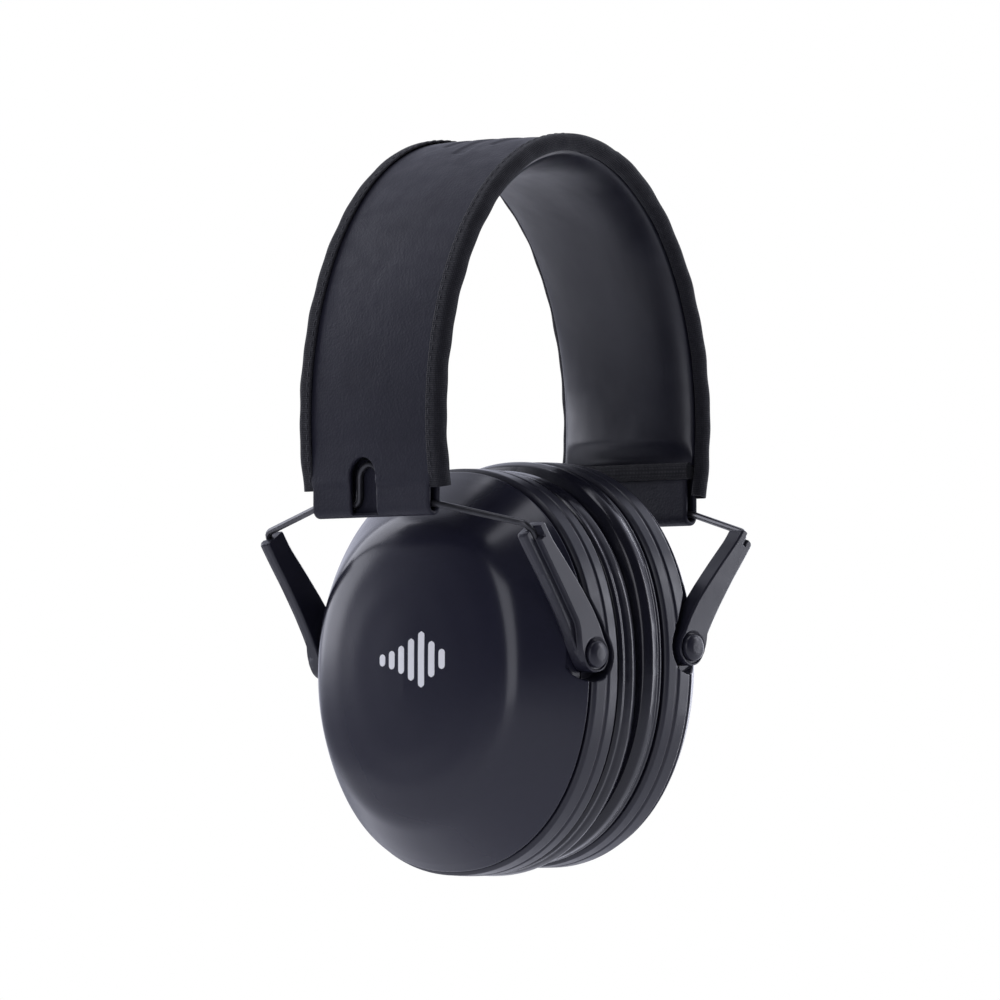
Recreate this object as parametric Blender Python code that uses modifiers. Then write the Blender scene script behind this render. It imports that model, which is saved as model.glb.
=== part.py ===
"""Headband earmuff hearing protector: a padded sprung headband, two wire bails and two cups.

Sizes are in millimetres and are turned into metres where a mesh is made. X runs from ear to ear,
Y from front to rear and Z up. The origin is the inner crown of the head pad, where a head touches it.
The left side is at -X, and each side is built by the same functions.
"""

import math

import bmesh
import bpy
from mathutils import Matrix, Vector

MM = 0.001
GAP = 0.3

# Headband: an upper half ellipse seen from the front, and the layers across its thickness.
# Depths are measured outwards from the ellipse, so what lies inside it is negative.
BAND_HALF_WIDE = 50.0
BAND_HIGH = 71.0
CROWN_ANGLE = 31.0
CROWN_STEPS = 10
LEG_STEPS = 18
COVER_DEPTHS = (-1.8, -0.3)
SPRING_DEPTHS = (-2.9, -2.1)
PAD_TOP = -3.2
PAD_MIDDLE = -8.0
COVER_HALF = 23.5
SPRING_HALF = 15.0
PAD_HALF = 21.5
BINDING_HALF = 24.3
BINDING_REACH = 4.4
BINDING_THICK = 0.5

# Heights, measured from the pad's inner crown at zero.
CROWN_TOP = -PAD_MIDDLE
BAND_CENTRE_Z = CROWN_TOP - BAND_HIGH
HOOK_BOTTOM = CROWN_TOP - 96.0
BINDING_END_Z = HOOK_BOTTOM + 7.0
PAD_END_Z = HOOK_BOTTOM + 15.5
SPRING_END_Z = HOOK_BOTTOM + 21.0

# Band hinges: where the sprung band does most of its bending.
FLEX_X = 26.0
FLEX_Z = CROWN_TOP - 12.0

# Rolled hook at each end of the band, and the slot in its outer wall.
HOOK_HALF = 19.2
HOOK_OUTER_X = 49.5
HOOK_INNER_X = 44.9
HOOK_WALL = 1.1
HOOK_INNER_TOP = PAD_END_Z - 0.5
HOOK_OUTER_TOP = HOOK_BOTTOM + 19.0
SLOT_MIDDLE_Y = 2.35
SLOT_RADIUS = 4.55
SLOT_ARCH_Z = HOOK_BOTTOM + 10.45

# Wire bail.
WIRE_RADIUS = 0.85
WIRE_X = 47.2
WIRE_Z = HOOK_BOTTOM + 3.0
CRANK_RADIUS = 3.35
CRANK_ARCH_Z = HOOK_BOTTOM + 9.85
BEND_X = 39.9
BEND_Z = HOOK_BOTTOM - 2.6
WIRE_IN_ARM = 25.0
CHANNEL_RADIUS = 1.2
CHANNEL_DEEP = 26.5

# Arms, and the pins that the cups tilt on. An edge is (distance up from the pin, distance across).
ARM_INNER_Y = 42.2
ARM_OUTER_Y = 47.0
ARM_TOP_DROP = 4.2
ARM_TOP_REACH = 2.9
ARM_TOP_BEVEL = 0.7
BOSS_RADIUS = 4.5
ARM_OUTER_EDGE = [(5.0, 4.1), (10.0, 3.5), (16.0, 3.1), (24.0, 3.0), (32.0, 3.2)]
ARM_INNER_EDGE = [(5.0, 5.4), (10.0, 5.6), (16.0, 5.2), (24.0, 4.3), (32.0, 3.2)]
PIVOT_X = 17.7
PIVOT_DROP = {"left": 34.2, "right": 31.8}
PIN_RADIUS = 2.2
PIN_HOLE_RADIUS = 2.5
PIN_END_Y = 40.2
BUTTON_RADIUS = 3.4
BUTTON_TOP_Y = 48.6

# Cups: rounded outlines whose size at each depth is the rim's less an inset.
RIM_HALF_Y = 46.5
RIM_HALF_Z = 50.8
OUTLINE_POWER = 2.15
OUTLINE_POINTS = 40
CUP_BELOW_PIVOT = 3.5
POCKET_FLOOR_Y = ARM_INNER_Y - GAP
POCKET_RADIUS = BOSS_RADIUS + 1.9
POCKET_REACH = 17.0
POCKET_END_RADIUS = 9.0

# Sections as (distance from the middle plane, inset from the rim's outline).
SHELL_FACE = [
    (37.3, 40.0), (36.6, 30.0), (35.3, 21.0), (33.8, 15.0), (32.2, 12.6), (28.5, 9.2), (24.0, 5.3),
    (21.0, 2.6), (18.9, 0.9), (18.3, 1.2),
]
SHELL_LINING = [
    (18.3, 7.2), (24.0, 8.4), (30.6, 16.0), (33.0, 21.0), (34.4, 30.0), (35.1, 40.0),
]
FRAME_SECTION = [
    (8.7, 0.8), (9.5, 0.0), (17.1, 0.0), (17.9, 0.8), (17.9, 8.0), (10.3, 8.0), (10.3, 3.5), (8.7, 3.5),
]
PLATE_SECTION = [(8.5, 3.8), (10.0, 3.8), (10.0, 14.0), (8.5, 14.0)]
CUSHION_SECTION = [
    (0.15, 5.0), (0.15, 10.5), (1.2, 13.4), (3.8, 15.0), (8.2, 15.0), (8.2, 1.6), (6.6, 0.5), (3.2, 0.5),
    (1.1, 2.2),
]
FOAM_SECTION = [(16.0, 10.5), (24.0, 10.5), (29.0, 17.5), (31.5, 30.0)]

FINISHES = {
    "band_cover": ((0.035, 0.035, 0.042), 0.62, 0.0),
    "woven_tape": ((0.018, 0.018, 0.021), 0.85, 0.0),
    "pad_lining": ((0.022, 0.022, 0.028), 0.35, 0.0),
    "spring_steel": ((0.42, 0.43, 0.45), 0.35, 1.0),
    "bail_wire": ((0.035, 0.035, 0.040), 0.32, 1.0),
    "moulded_black": ((0.032, 0.033, 0.040), 0.38, 0.0),
    "shell_satin": ((0.030, 0.031, 0.042), 0.30, 0.0),
    "cushion_skin": ((0.016, 0.016, 0.020), 0.22, 0.0),
    "foam": ((0.050, 0.050, 0.052), 0.95, 0.0),
}


def clear_scene():
    """Remove every object, so that the model starts from nothing."""
    for obj in list(bpy.data.objects):
        bpy.data.objects.remove(obj, do_unlink=True)


def make_collection(name):
    """Make a collection under the scene's own."""
    found = bpy.data.collections.new(name)
    bpy.context.scene.collection.children.link(found)
    return found


def make_material(name, finish):
    """One Principled material for one sub-part."""
    colour, roughness, metallic = FINISHES[finish]
    material = bpy.data.materials.new(name + "_finish")
    material.use_nodes = True
    shader = material.node_tree.nodes["Principled BSDF"]
    shader.inputs["Base Color"].default_value = (*colour, 1.0)
    shader.inputs["Roughness"].default_value = roughness
    shader.inputs["Metallic"].default_value = metallic
    return material


class Assembly:
    """The parts' and cutters' collections, and one empty on each body's joint axis."""

    def __init__(self):
        self.parts = make_collection("earmuff_hearing_protector")
        self.cutters = make_collection("cutters")
        self.empties = {}

    def add_body(self, name, place, parent=None):
        """An empty at a joint's axis, in millimetres, under its parent body's empty."""
        empty = bpy.data.objects.new(name + "_axis", None)
        empty.empty_display_size = 0.01
        self.parts.objects.link(empty)
        base = self.empties[parent] if parent else None
        empty["place"] = place
        start = Vector(base["place"]) if base else Vector()
        empty.parent = base
        empty.location = (Vector(place) - start) * MM
        self.empties[name] = empty

    def add(self, name, mesh, finish, body):
        """Put a finished mesh, made in world metres, on a body as a named sub-part."""
        empty = self.empties[body]
        mesh.transform(Matrix.Translation(-Vector(empty["place"]) * MM))
        mesh.name = name
        obj = bpy.data.objects.new(name, mesh)
        mesh.materials.clear()
        mesh.materials.append(make_material(name, finish))
        mesh.shade_smooth()
        mesh.set_sharp_from_angle(angle=math.radians(32))
        self.parts.objects.link(obj)
        obj.parent = empty
        return obj

    def add_cutter(self, name, mesh):
        """A cutter in its own collection, kept out of renders."""
        obj = bpy.data.objects.new(name, mesh)
        obj.hide_render = True
        obj.display_type = "WIRE"
        self.cutters.objects.link(obj)
        return obj


def cut(obj, *cutters):
    """Subtract each cutter from an object with an exact Boolean."""
    for cutter in cutters:
        modifier = obj.modifiers.new(cutter.name, "BOOLEAN")
        modifier.operation = "DIFFERENCE"
        modifier.solver = "EXACT"
        modifier.object = cutter


def mesh_from(bm):
    """A mesh in metres from a bmesh in millimetres, its faces turned outwards."""
    bm.normal_update()
    bmesh.ops.recalc_face_normals(bm, faces=bm.faces)
    bm.transform(Matrix.Scale(MM, 4))
    mesh = bpy.data.meshes.new("mesh")
    bm.to_mesh(mesh)
    bm.free()
    return mesh


def loft(rings, loop=False):
    """Join like rings of points into one closed skin, with caps at the ends unless it is a loop."""
    bm = bmesh.new()
    rows = [[bm.verts.new(point) for point in ring] for ring in rings]
    pairs = list(zip(rows, rows[1:]))
    if loop:
        pairs.append((rows[-1], rows[0]))
    for low, high in pairs:
        for i in range(len(low)):
            j = (i + 1) % len(low)
            bm.faces.new((low[i], low[j], high[j], high[i]))
    if not loop:
        bm.faces.new(rows[0])
        bm.faces.new(rows[-1])
    return mesh_from(bm)


def plate(outline, low_y, high_y):
    """A flat outline in X and Z, filled and extruded from one Y to another."""
    data = bpy.data.curves.new("outline", "CURVE")
    data.dimensions = "2D"
    data.fill_mode = "BOTH"
    data.extrude = abs(high_y - low_y) / 2
    spline = data.splines.new("POLY")
    spline.points.add(len(outline) - 1)
    for point, (x, z) in zip(spline.points, outline):
        point.co = (x, z, 0.0, 1.0)
    spline.use_cyclic_u = True
    lift = Matrix.Translation((0.0, (low_y + high_y) / 2, 0.0)) @ Matrix.Rotation(math.pi / 2, 4, "X")
    return mesh_of_curve(data, lift)


def mesh_of_curve(data, place=None):
    """The evaluated mesh of a curve with its caps welded, moved by a matrix."""
    guide = bpy.data.objects.new("guide", data)
    bpy.context.scene.collection.objects.link(guide)
    graph = bpy.context.evaluated_depsgraph_get()
    mesh = bpy.data.meshes.new_from_object(guide.evaluated_get(graph))
    bpy.data.objects.remove(guide, do_unlink=True)
    bm = bmesh.new()
    bm.from_mesh(mesh)
    bmesh.ops.remove_doubles(bm, verts=bm.verts, dist=0.001)
    if place is not None:
        bm.transform(place)
    return mesh_from(bm)


def box(low, high):
    """A box between two corners, in millimetres."""
    bm = bmesh.new()
    bmesh.ops.create_cube(bm, size=1.0)
    low, high = Vector(low), Vector(high)
    size = high - low
    bm.transform(Matrix.Translation((low + high) / 2) @ Matrix.Diagonal((*size, 1.0)))
    return mesh_from(bm)


def rod(start, end, radius, sides=16):
    """A cylinder between two points, in millimetres."""
    bm = bmesh.new()
    start, end = Vector(start), Vector(end)
    along = end - start
    turn = along.to_track_quat("Z", "Y").to_matrix().to_4x4()
    bmesh.ops.create_cone(
        bm, cap_ends=True, segments=sides, radius1=radius, radius2=radius, depth=along.length
    )
    bm.transform(Matrix.Translation((start + end) / 2) @ turn)
    return mesh_from(bm)


def arc(centre, radius, start, end, steps):
    """Points on a circular arc in a plane, its angles in degrees."""
    angles = [math.radians(start + (end - start) * i / steps) for i in range(steps + 1)]
    return [(centre[0] + radius * math.cos(a), centre[1] + radius * math.sin(a)) for a in angles]


def tapered_capsule(low, low_radius, high, high_radius, steps=10):
    """The outline of two circles and the lines that touch both."""
    across = Vector(high) - Vector(low)
    facing = math.degrees(math.atan2(across.y, across.x))
    lean = math.degrees(math.acos((low_radius - high_radius) / across.length))
    return arc(low, low_radius, facing + lean, facing + 360 - lean, steps) + arc(
        high, high_radius, facing - lean, facing + lean, steps
    )


# Headband ------------------------------------------------------------------------------------------


def angle_at_height(z):
    """The band's angle from the crown, in degrees, where the ellipse reaches a height."""
    return math.degrees(math.acos((z - BAND_CENTRE_Z) / BAND_HIGH))


def band_point(angle, across, depth):
    """A point on the band: its angle from the crown, its Y, and its depth along the ellipse's normal."""
    turn = math.radians(angle)
    normal = Vector((math.sin(turn) / BAND_HALF_WIDE, math.cos(turn) / BAND_HIGH)).normalized()
    x = BAND_HALF_WIDE * math.sin(turn) + normal.x * depth
    z = BAND_CENTRE_Z + BAND_HIGH * math.cos(turn) + normal.y * depth
    return (x, across, z)


def band_strip(section, start, end, steps):
    """Carry a section of (Y, depth) points along the ellipse from one angle to another."""
    angles = [start + (end - start) * i / steps for i in range(steps + 1)]
    return loft([[band_point(angle, y, depth) for y, depth in section] for angle in angles])


def flat_section(half, depths):
    """A rectangular strip's section."""
    low, high = depths
    return [(-half, low), (half, low), (half, high), (-half, high)]


def pad_section():
    """The pad's section: flat above, crowned below, with thin rounded edges."""
    steps = 8
    lower = []
    for i in range(steps + 1):
        share = -1 + 2 * i / steps
        rise = (1 - abs(share) ** 2.6) ** 0.8
        lower.append((PAD_HALF * share, PAD_TOP - 1.2 + (PAD_MIDDLE - PAD_TOP + 1.2) * rise))
    return [*lower, (PAD_HALF, PAD_TOP), (-PAD_HALF, PAD_TOP)]


def binding_section(side):
    """A tape folded round one edge: a wide outer lap, the edge, and a short inner lap."""
    edge, lap = BINDING_HALF, BINDING_HALF - BINDING_REACH
    wall, under = BINDING_THICK, COVER_DEPTHS[0] - GAP
    points = [
        (lap, 0.0), (lap, wall), (edge, wall), (edge, under - wall), (edge - 3.3, under - wall),
        (edge - 3.3, under), (edge - wall, under), (edge - wall, 0.0),
    ]
    return [(side * y, depth) for y, depth in points]


def band_layers():
    """Each layer of the band: its name, section, finish and the height where it ends."""
    return [
        ("outer_cover", flat_section(COVER_HALF, COVER_DEPTHS), "band_cover", BINDING_END_Z),
        ("band_spring", flat_section(SPRING_HALF, SPRING_DEPTHS), "spring_steel", SPRING_END_Z),
        ("head_pad", pad_section(), "pad_lining", PAD_END_Z),
        ("edge_binding_front", binding_section(-1), "woven_tape", BINDING_END_Z),
        ("edge_binding_rear", binding_section(1), "woven_tape", BINDING_END_Z),
    ]


def build_crown(assembly):
    """The middle of the band, which stays on the head while the legs spring open."""
    reach = CROWN_ANGLE - 0.15
    for name, section, finish, _ in band_layers():
        assembly.add("crown_" + name, band_strip(section, -reach, reach, CROWN_STEPS), finish, "headband")


def build_leg(assembly, side, sign):
    """One leg of the band and the rolled hook at its end."""
    body = side + "_leg"
    for name, section, finish, end_z in band_layers():
        end = angle_at_height(end_z)
        strip = band_strip(section, sign * (CROWN_ANGLE + 0.15), sign * end, LEG_STEPS)
        piece = assembly.add(f"{side}_{name}", strip, finish, body)
        if name == "outer_cover":
            notch = box(
                (sign * 40.0 - 15.0, -HOOK_HALF - GAP, HOOK_BOTTOM - 5.0),
                (sign * 40.0 + 15.0, HOOK_HALF + GAP, HOOK_OUTER_TOP + GAP),
            )
            cut(piece, assembly.add_cutter(side + "_cover_notch", notch))
    build_hook(assembly, side, sign)


def build_hook(assembly, side, sign):
    """The tab rolled up into a hook round the bail wire, with an arched slot in its outer wall."""
    middle = (HOOK_OUTER_X + HOOK_INNER_X) / 2
    outer = (HOOK_OUTER_X - HOOK_INNER_X) / 2
    inner = outer - HOOK_WALL
    centre = (middle, HOOK_BOTTOM + outer)
    outline = [
        (HOOK_OUTER_X, HOOK_OUTER_TOP),
        (HOOK_OUTER_X - HOOK_WALL, HOOK_OUTER_TOP),
        *arc(centre, inner, 0, -180, 8),
        (HOOK_INNER_X + HOOK_WALL, HOOK_INNER_TOP),
        (HOOK_INNER_X, HOOK_INNER_TOP),
        *arc(centre, outer, -180, 0, 10),
    ]
    mesh = plate([(sign * x, z) for x, z in outline], -HOOK_HALF, HOOK_HALF)
    hook = assembly.add(side + "_end_hook", mesh, "band_cover", side + "_leg")
    arch = rod((sign * 47.6, SLOT_MIDDLE_Y, SLOT_ARCH_Z), (sign * 52.0, SLOT_MIDDLE_Y, SLOT_ARCH_Z), SLOT_RADIUS, 24)
    mouth = box(
        (min(sign * 47.6, sign * 52.0), SLOT_MIDDLE_Y - SLOT_RADIUS, HOOK_BOTTOM + 0.9),
        (max(sign * 47.6, sign * 52.0), SLOT_MIDDLE_Y + SLOT_RADIUS, SLOT_ARCH_Z),
    )
    cut(hook, assembly.add_cutter(side + "_slot_arch", arch), assembly.add_cutter(side + "_slot_mouth", mouth))


# Bail and arms -------------------------------------------------------------------------------------


class Stance:
    """Where one side's pivot, bend and arm lie, in millimetres."""

    def __init__(self, side, sign):
        self.side = side
        self.sign = sign
        self.pivot = Vector((sign * PIVOT_X, HOOK_BOTTOM - PIVOT_DROP[side]))
        self.bend = Vector((sign * BEND_X, BEND_Z))
        self.down = (self.pivot - self.bend).normalized()
        self.arm_top = self.bend + self.down * ARM_TOP_DROP
        self.cup_z = self.pivot.y - CUP_BELOW_PIVOT

    def spot(self, point, y):
        """A point in X and Z, set at a Y."""
        return (point[0], y, point[1])


def rounded_path(points, radius, steps=4):
    """A path whose inner corners are eased by a short parabola on either side."""
    path = [Vector(points[0])]
    for before, corner, after in zip(points, points[1:], points[2:]):
        corner = Vector(corner)
        back, ahead = Vector(before) - corner, Vector(after) - corner
        reach = min(radius, back.length * 0.45, ahead.length * 0.45)
        start, end = corner + back.normalized() * reach, corner + ahead.normalized() * reach
        for i in range(steps + 1):
            share = i / steps
            path.append(start * (1 - share) ** 2 + corner * 2 * share * (1 - share) + end * share ** 2)
    path.append(Vector(points[-1]))
    return path


def wire_route(stance):
    """The bail from the front arm, through the hook and its crank, to the rear arm."""
    axis = (stance.sign * WIRE_X, WIRE_Z)
    end = stance.bend + stance.down * WIRE_IN_ARM
    arm_y = (ARM_INNER_Y + ARM_OUTER_Y) / 2
    near, far = SLOT_MIDDLE_Y - CRANK_RADIUS, SLOT_MIDDLE_Y + CRANK_RADIUS
    front = rounded_path(
        [stance.spot(end, -arm_y), stance.spot(stance.bend, -arm_y), stance.spot(axis, -HOOK_HALF - 0.6),
         stance.spot(axis, near), (axis[0], near, CRANK_ARCH_Z)], 2.4
    )
    arch = [
        Vector((axis[0], y, z)) for y, z in arc((SLOT_MIDDLE_Y, CRANK_ARCH_Z), CRANK_RADIUS, 180, 0, 8)
    ]
    rear = rounded_path(
        [(axis[0], far, CRANK_ARCH_Z), stance.spot(axis, far), stance.spot(axis, HOOK_HALF + 0.6),
         stance.spot(stance.bend, arm_y), stance.spot(end, arm_y)], 2.4
    )
    return front + arch[1:-1] + rear


def tube(path, radius):
    """A wire of round section along a path."""
    data = bpy.data.curves.new("wire", "CURVE")
    data.dimensions = "3D"
    data.bevel_depth = radius
    data.bevel_resolution = 2
    data.use_fill_caps = True
    spline = data.splines.new("POLY")
    spline.points.add(len(path) - 1)
    for point, place in zip(spline.points, path):
        point.co = (*place, 1.0)
    return mesh_of_curve(data)


def build_bail(assembly, stance):
    """The bent wire that hangs from the hook."""
    mesh = tube(wire_route(stance), WIRE_RADIUS)
    assembly.add(stance.side + "_bail_wire", mesh, "bail_wire", stance.side + "_bail")


def arm_outline(stance):
    """The arm from the front: round below its pin, flared towards the head, and cut square at its top."""
    inward = Vector((-stance.down.y, stance.down.x)) * -stance.sign
    top = (stance.arm_top - stance.pivot).length + ARM_TOP_REACH
    inner, outer = ARM_INNER_EDGE[-1][1], ARM_OUTER_EDGE[-1][1]
    places = [
        *arc((0.0, 0.0), BOSS_RADIUS, -90, -270, 10),
        *ARM_INNER_EDGE,
        (top - ARM_TOP_BEVEL, inner),
        (top, inner - ARM_TOP_BEVEL),
        (top, ARM_TOP_BEVEL - outer),
        (top - ARM_TOP_BEVEL, -outer),
        *[(up, -across) for up, across in reversed(ARM_OUTER_EDGE)],
    ]
    return [stance.pivot - stance.down * up + inward * across for up, across in places]


def build_arm(assembly, stance, end, face):
    """One arm with a channel for the wire and a hole for its pin."""
    name = f"{stance.side}_arm_{end}"
    outline = arm_outline(stance)
    low, high = sorted((face * ARM_INNER_Y, face * ARM_OUTER_Y))
    arm = assembly.add(name, plate(outline, low, high), "moulded_black", stance.side + "_yoke")
    middle = (low + high) / 2
    above = stance.spot(stance.bend - stance.down * 3.0, middle)
    below = stance.spot(stance.bend + stance.down * CHANNEL_DEEP, middle)
    channel = assembly.add_cutter(name + "_channel", rod(above, below, CHANNEL_RADIUS, 12))
    inside, outside = stance.spot(stance.pivot, face * 40.0), stance.spot(stance.pivot, face * 49.0)
    hole = assembly.add_cutter(name + "_hole", rod(inside, outside, PIN_HOLE_RADIUS))
    cut(arm, channel, hole)


def build_pin(assembly, stance, end, face):
    """A pin with a domed button head, turned about its own axis."""
    profile = [
        (0.0, BUTTON_TOP_Y), (1.8, BUTTON_TOP_Y - 0.1), (2.9, BUTTON_TOP_Y - 0.45),
        (BUTTON_RADIUS, BUTTON_TOP_Y - 0.95), (BUTTON_RADIUS, ARM_OUTER_Y + GAP),
        (PIN_RADIUS, ARM_OUTER_Y + GAP), (PIN_RADIUS, PIN_END_Y), (0.0, PIN_END_Y),
    ]
    mesh = bpy.data.meshes.new("pin")
    mesh.from_pydata(
        [(r * MM, 0.0, y * MM) for r, y in profile], [(i, i + 1) for i in range(len(profile) - 1)], []
    )
    name = f"{stance.side}_pivot_pin_{end}"
    pin = assembly.add(name, mesh, "moulded_black", "headband")
    mesh.transform(Matrix.Translation(Vector(assembly.empties["headband"]["place"]) * MM))
    empty = assembly.empties[stance.side + "_yoke"]
    place = Vector((stance.pivot.x, 0.0, stance.pivot.y)) - Vector(empty["place"])
    pin.parent = empty
    pin.location = place * MM
    pin.rotation_euler = (math.radians(-90 * face), 0.0, 0.0)
    screw = pin.modifiers.new("turn", "SCREW")
    screw.steps = 16
    screw.render_steps = 16
    screw.use_merge_vertices = True
    screw.merge_threshold = 0.00001
    screw.use_smooth_shade = True


# Cups ----------------------------------------------------------------------------------------------


def cup_ring(stance, distance, inset):
    """One rounded outline of the cup at a distance from the middle plane."""
    half_y, half_z = RIM_HALF_Y - inset, RIM_HALF_Z - inset
    ring = []
    for i in range(OUTLINE_POINTS):
        turn = 2 * math.pi * i / OUTLINE_POINTS
        c, s = math.cos(turn), math.sin(turn)
        y = math.copysign(abs(c) ** (2 / OUTLINE_POWER), c) * half_y
        z = math.copysign(abs(s) ** (2 / OUTLINE_POWER), s) * half_z
        ring.append((stance.sign * distance, y, stance.cup_z + z))
    return ring


def cup_solid(stance, section, loop):
    """Carry a section round the cup's outline."""
    return loft([cup_ring(stance, distance, inset) for distance, inset in section], loop)


def pocket_cutters(assembly, stance, end, face):
    """The pocket that an arm lies in, and the blind hole for its pin."""
    up = -stance.down
    reach = stance.pivot + up * POCKET_REACH
    outline = tapered_capsule(reach, POCKET_END_RADIUS, stance.pivot, POCKET_RADIUS)
    low, high = sorted((face * POCKET_FLOOR_Y, face * 60.0))
    name = f"{stance.side}_pocket_{end}"
    pocket = assembly.add_cutter(name, plate(outline, low, high))
    inside = stance.spot(stance.pivot, face * (PIN_END_Y - GAP))
    outside = stance.spot(stance.pivot, face * 45.0)
    return pocket, assembly.add_cutter(name + "_hole", rod(inside, outside, PIN_HOLE_RADIUS))


def build_cup(assembly, stance):
    """The shell, frame, cushion plate, cushion and foam of one cup."""
    side, body = stance.side, stance.side + "_cup"
    shell = assembly.add(
        side + "_cup_shell", cup_solid(stance, SHELL_FACE + SHELL_LINING, False), "shell_satin", body
    )
    frame = assembly.add(side + "_cup_frame", cup_solid(stance, FRAME_SECTION, True), "moulded_black", body)
    assembly.add(side + "_cushion_plate", cup_solid(stance, PLATE_SECTION, True), "moulded_black", body)
    assembly.add(side + "_ear_cushion", cup_solid(stance, CUSHION_SECTION, True), "cushion_skin", body)
    assembly.add(side + "_acoustic_foam", cup_solid(stance, FOAM_SECTION, False), "foam", body)
    for end, face in (("front", -1), ("rear", 1)):
        pocket, hole = pocket_cutters(assembly, stance, end, face)
        cut(shell, pocket, hole)
        cut(frame, pocket, hole)


def add_bodies(assembly, stance):
    """Empties on one side's joint axes."""
    side, sign = stance.side, stance.sign
    assembly.add_body(side + "_leg", (sign * FLEX_X, 0.0, FLEX_Z), "headband")
    assembly.add_body(side + "_bail", (sign * WIRE_X, 0.0, WIRE_Z), side + "_leg")
    assembly.add_body(side + "_yoke", (stance.arm_top.x, 0.0, stance.arm_top.y), side + "_bail")
    assembly.add_body(side + "_cup", (stance.pivot.x, 0.0, stance.pivot.y), side + "_yoke")


def build_side(assembly, side, sign):
    """Everything on one side of the headband."""
    stance = Stance(side, sign)
    add_bodies(assembly, stance)
    build_leg(assembly, side, sign)
    build_bail(assembly, stance)
    for end, face in (("front", -1), ("rear", 1)):
        build_arm(assembly, stance, end, face)
        build_pin(assembly, stance, end, face)
    build_cup(assembly, stance)


def main():
    """Build the whole earmuff."""
    clear_scene()
    assembly = Assembly()
    assembly.add_body("headband", (0.0, 0.0, 0.0))
    build_crown(assembly)
    for side, sign in (("left", -1), ("right", 1)):
        build_side(assembly, side, sign)


main()
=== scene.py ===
"""Looks of a headband earmuff: padded band, wire bails, moulded arms, satin cups and soft ring cushions.

Lengths are in metres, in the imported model's own frame: X from ear to ear with the left cup at -X, Y from
front to rear, Z up, and the origin at the inner crown of the head pad.
"""

import logging
import math
from dataclasses import dataclass
from enum import Enum

import bpy
import numpy as np
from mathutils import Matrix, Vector


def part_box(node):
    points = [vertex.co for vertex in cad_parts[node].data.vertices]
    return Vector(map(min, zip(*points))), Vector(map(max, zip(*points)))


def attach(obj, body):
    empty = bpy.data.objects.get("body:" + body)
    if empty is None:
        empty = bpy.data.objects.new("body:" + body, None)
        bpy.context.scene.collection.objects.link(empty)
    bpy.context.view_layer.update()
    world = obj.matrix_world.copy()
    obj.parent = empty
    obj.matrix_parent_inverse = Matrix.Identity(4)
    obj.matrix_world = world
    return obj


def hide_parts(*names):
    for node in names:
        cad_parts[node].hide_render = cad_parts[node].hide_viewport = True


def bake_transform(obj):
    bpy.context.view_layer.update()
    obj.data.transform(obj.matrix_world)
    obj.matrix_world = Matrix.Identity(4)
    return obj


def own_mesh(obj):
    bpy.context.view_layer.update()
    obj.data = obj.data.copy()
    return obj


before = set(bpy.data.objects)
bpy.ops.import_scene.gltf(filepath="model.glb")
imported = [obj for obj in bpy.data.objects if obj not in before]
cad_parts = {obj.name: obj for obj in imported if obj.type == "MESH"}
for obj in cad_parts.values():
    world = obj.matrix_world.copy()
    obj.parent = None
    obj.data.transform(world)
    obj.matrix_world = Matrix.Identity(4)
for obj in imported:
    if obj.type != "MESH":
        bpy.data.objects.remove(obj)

LOG = logging.getLogger("earmuff")
MM = 0.001
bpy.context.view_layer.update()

# Shared by the headband's hooks and the wires that hang in them.
HOOK_BOTTOM = -88.0 * MM
HOOK_X = 47.2 * MM
SLOT_Y = 2.35 * MM


class Side(Enum):
    """A side of the headband, with the sign of its X."""

    LEFT = -1
    RIGHT = 1

    @property
    def word(self) -> str:
        """The side's name as nodes and bodies use it.

        Returns:
            left or right.
        """
        return self.name.lower()


class Edge(Enum):
    """The front or rear edge or arm, with the sign of its Y."""

    FRONT = -1
    REAR = 1

    @property
    def word(self) -> str:
        """The edge's name as nodes use it.

        Returns:
            front or rear.
        """
        return self.name.lower()


# Surfaces ------------------------------------------------------------------------------------------


def quads(rows: int, columns: int, close_rows: bool, close_columns: bool) -> np.ndarray:
    """Corner numbers of the faces of a grid.

    Args:
        rows: points along the first parameter.
        columns: points along the second parameter.
        close_rows: the last row joins the first.
        close_columns: the last column joins the first.

    Returns:
        An array of four corner numbers for each face.
    """
    i = np.arange(rows if close_rows else rows - 1)
    j = np.arange(columns if close_columns else columns - 1)
    i, j = np.meshgrid(i, j, indexing="ij")
    after_i, after_j = (i + 1) % rows, (j + 1) % columns
    corners = np.stack(
        [i * columns + j, i * columns + after_j, after_i * columns + after_j, after_i * columns + j], axis=-1
    )
    return corners.reshape(-1, 4)


def signed_volume(points: np.ndarray, faces: list[list[int]]) -> float:
    """Volume inside a closed skin, negative where its faces point inwards.

    Args:
        points: the vertices.
        faces: corner numbers of each face.

    Returns:
        The sum over a fan of triangles in each face of a sixth of their corners' triple product.
    """
    triangles = np.array([(f[0], f[k], f[k + 1]) for f in faces for k in range(1, len(f) - 1)])
    a, b, c = (points[triangles[:, k]] for k in range(3))
    return float(np.einsum("ij,ij->", a, np.cross(b, c)) / 6)


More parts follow.
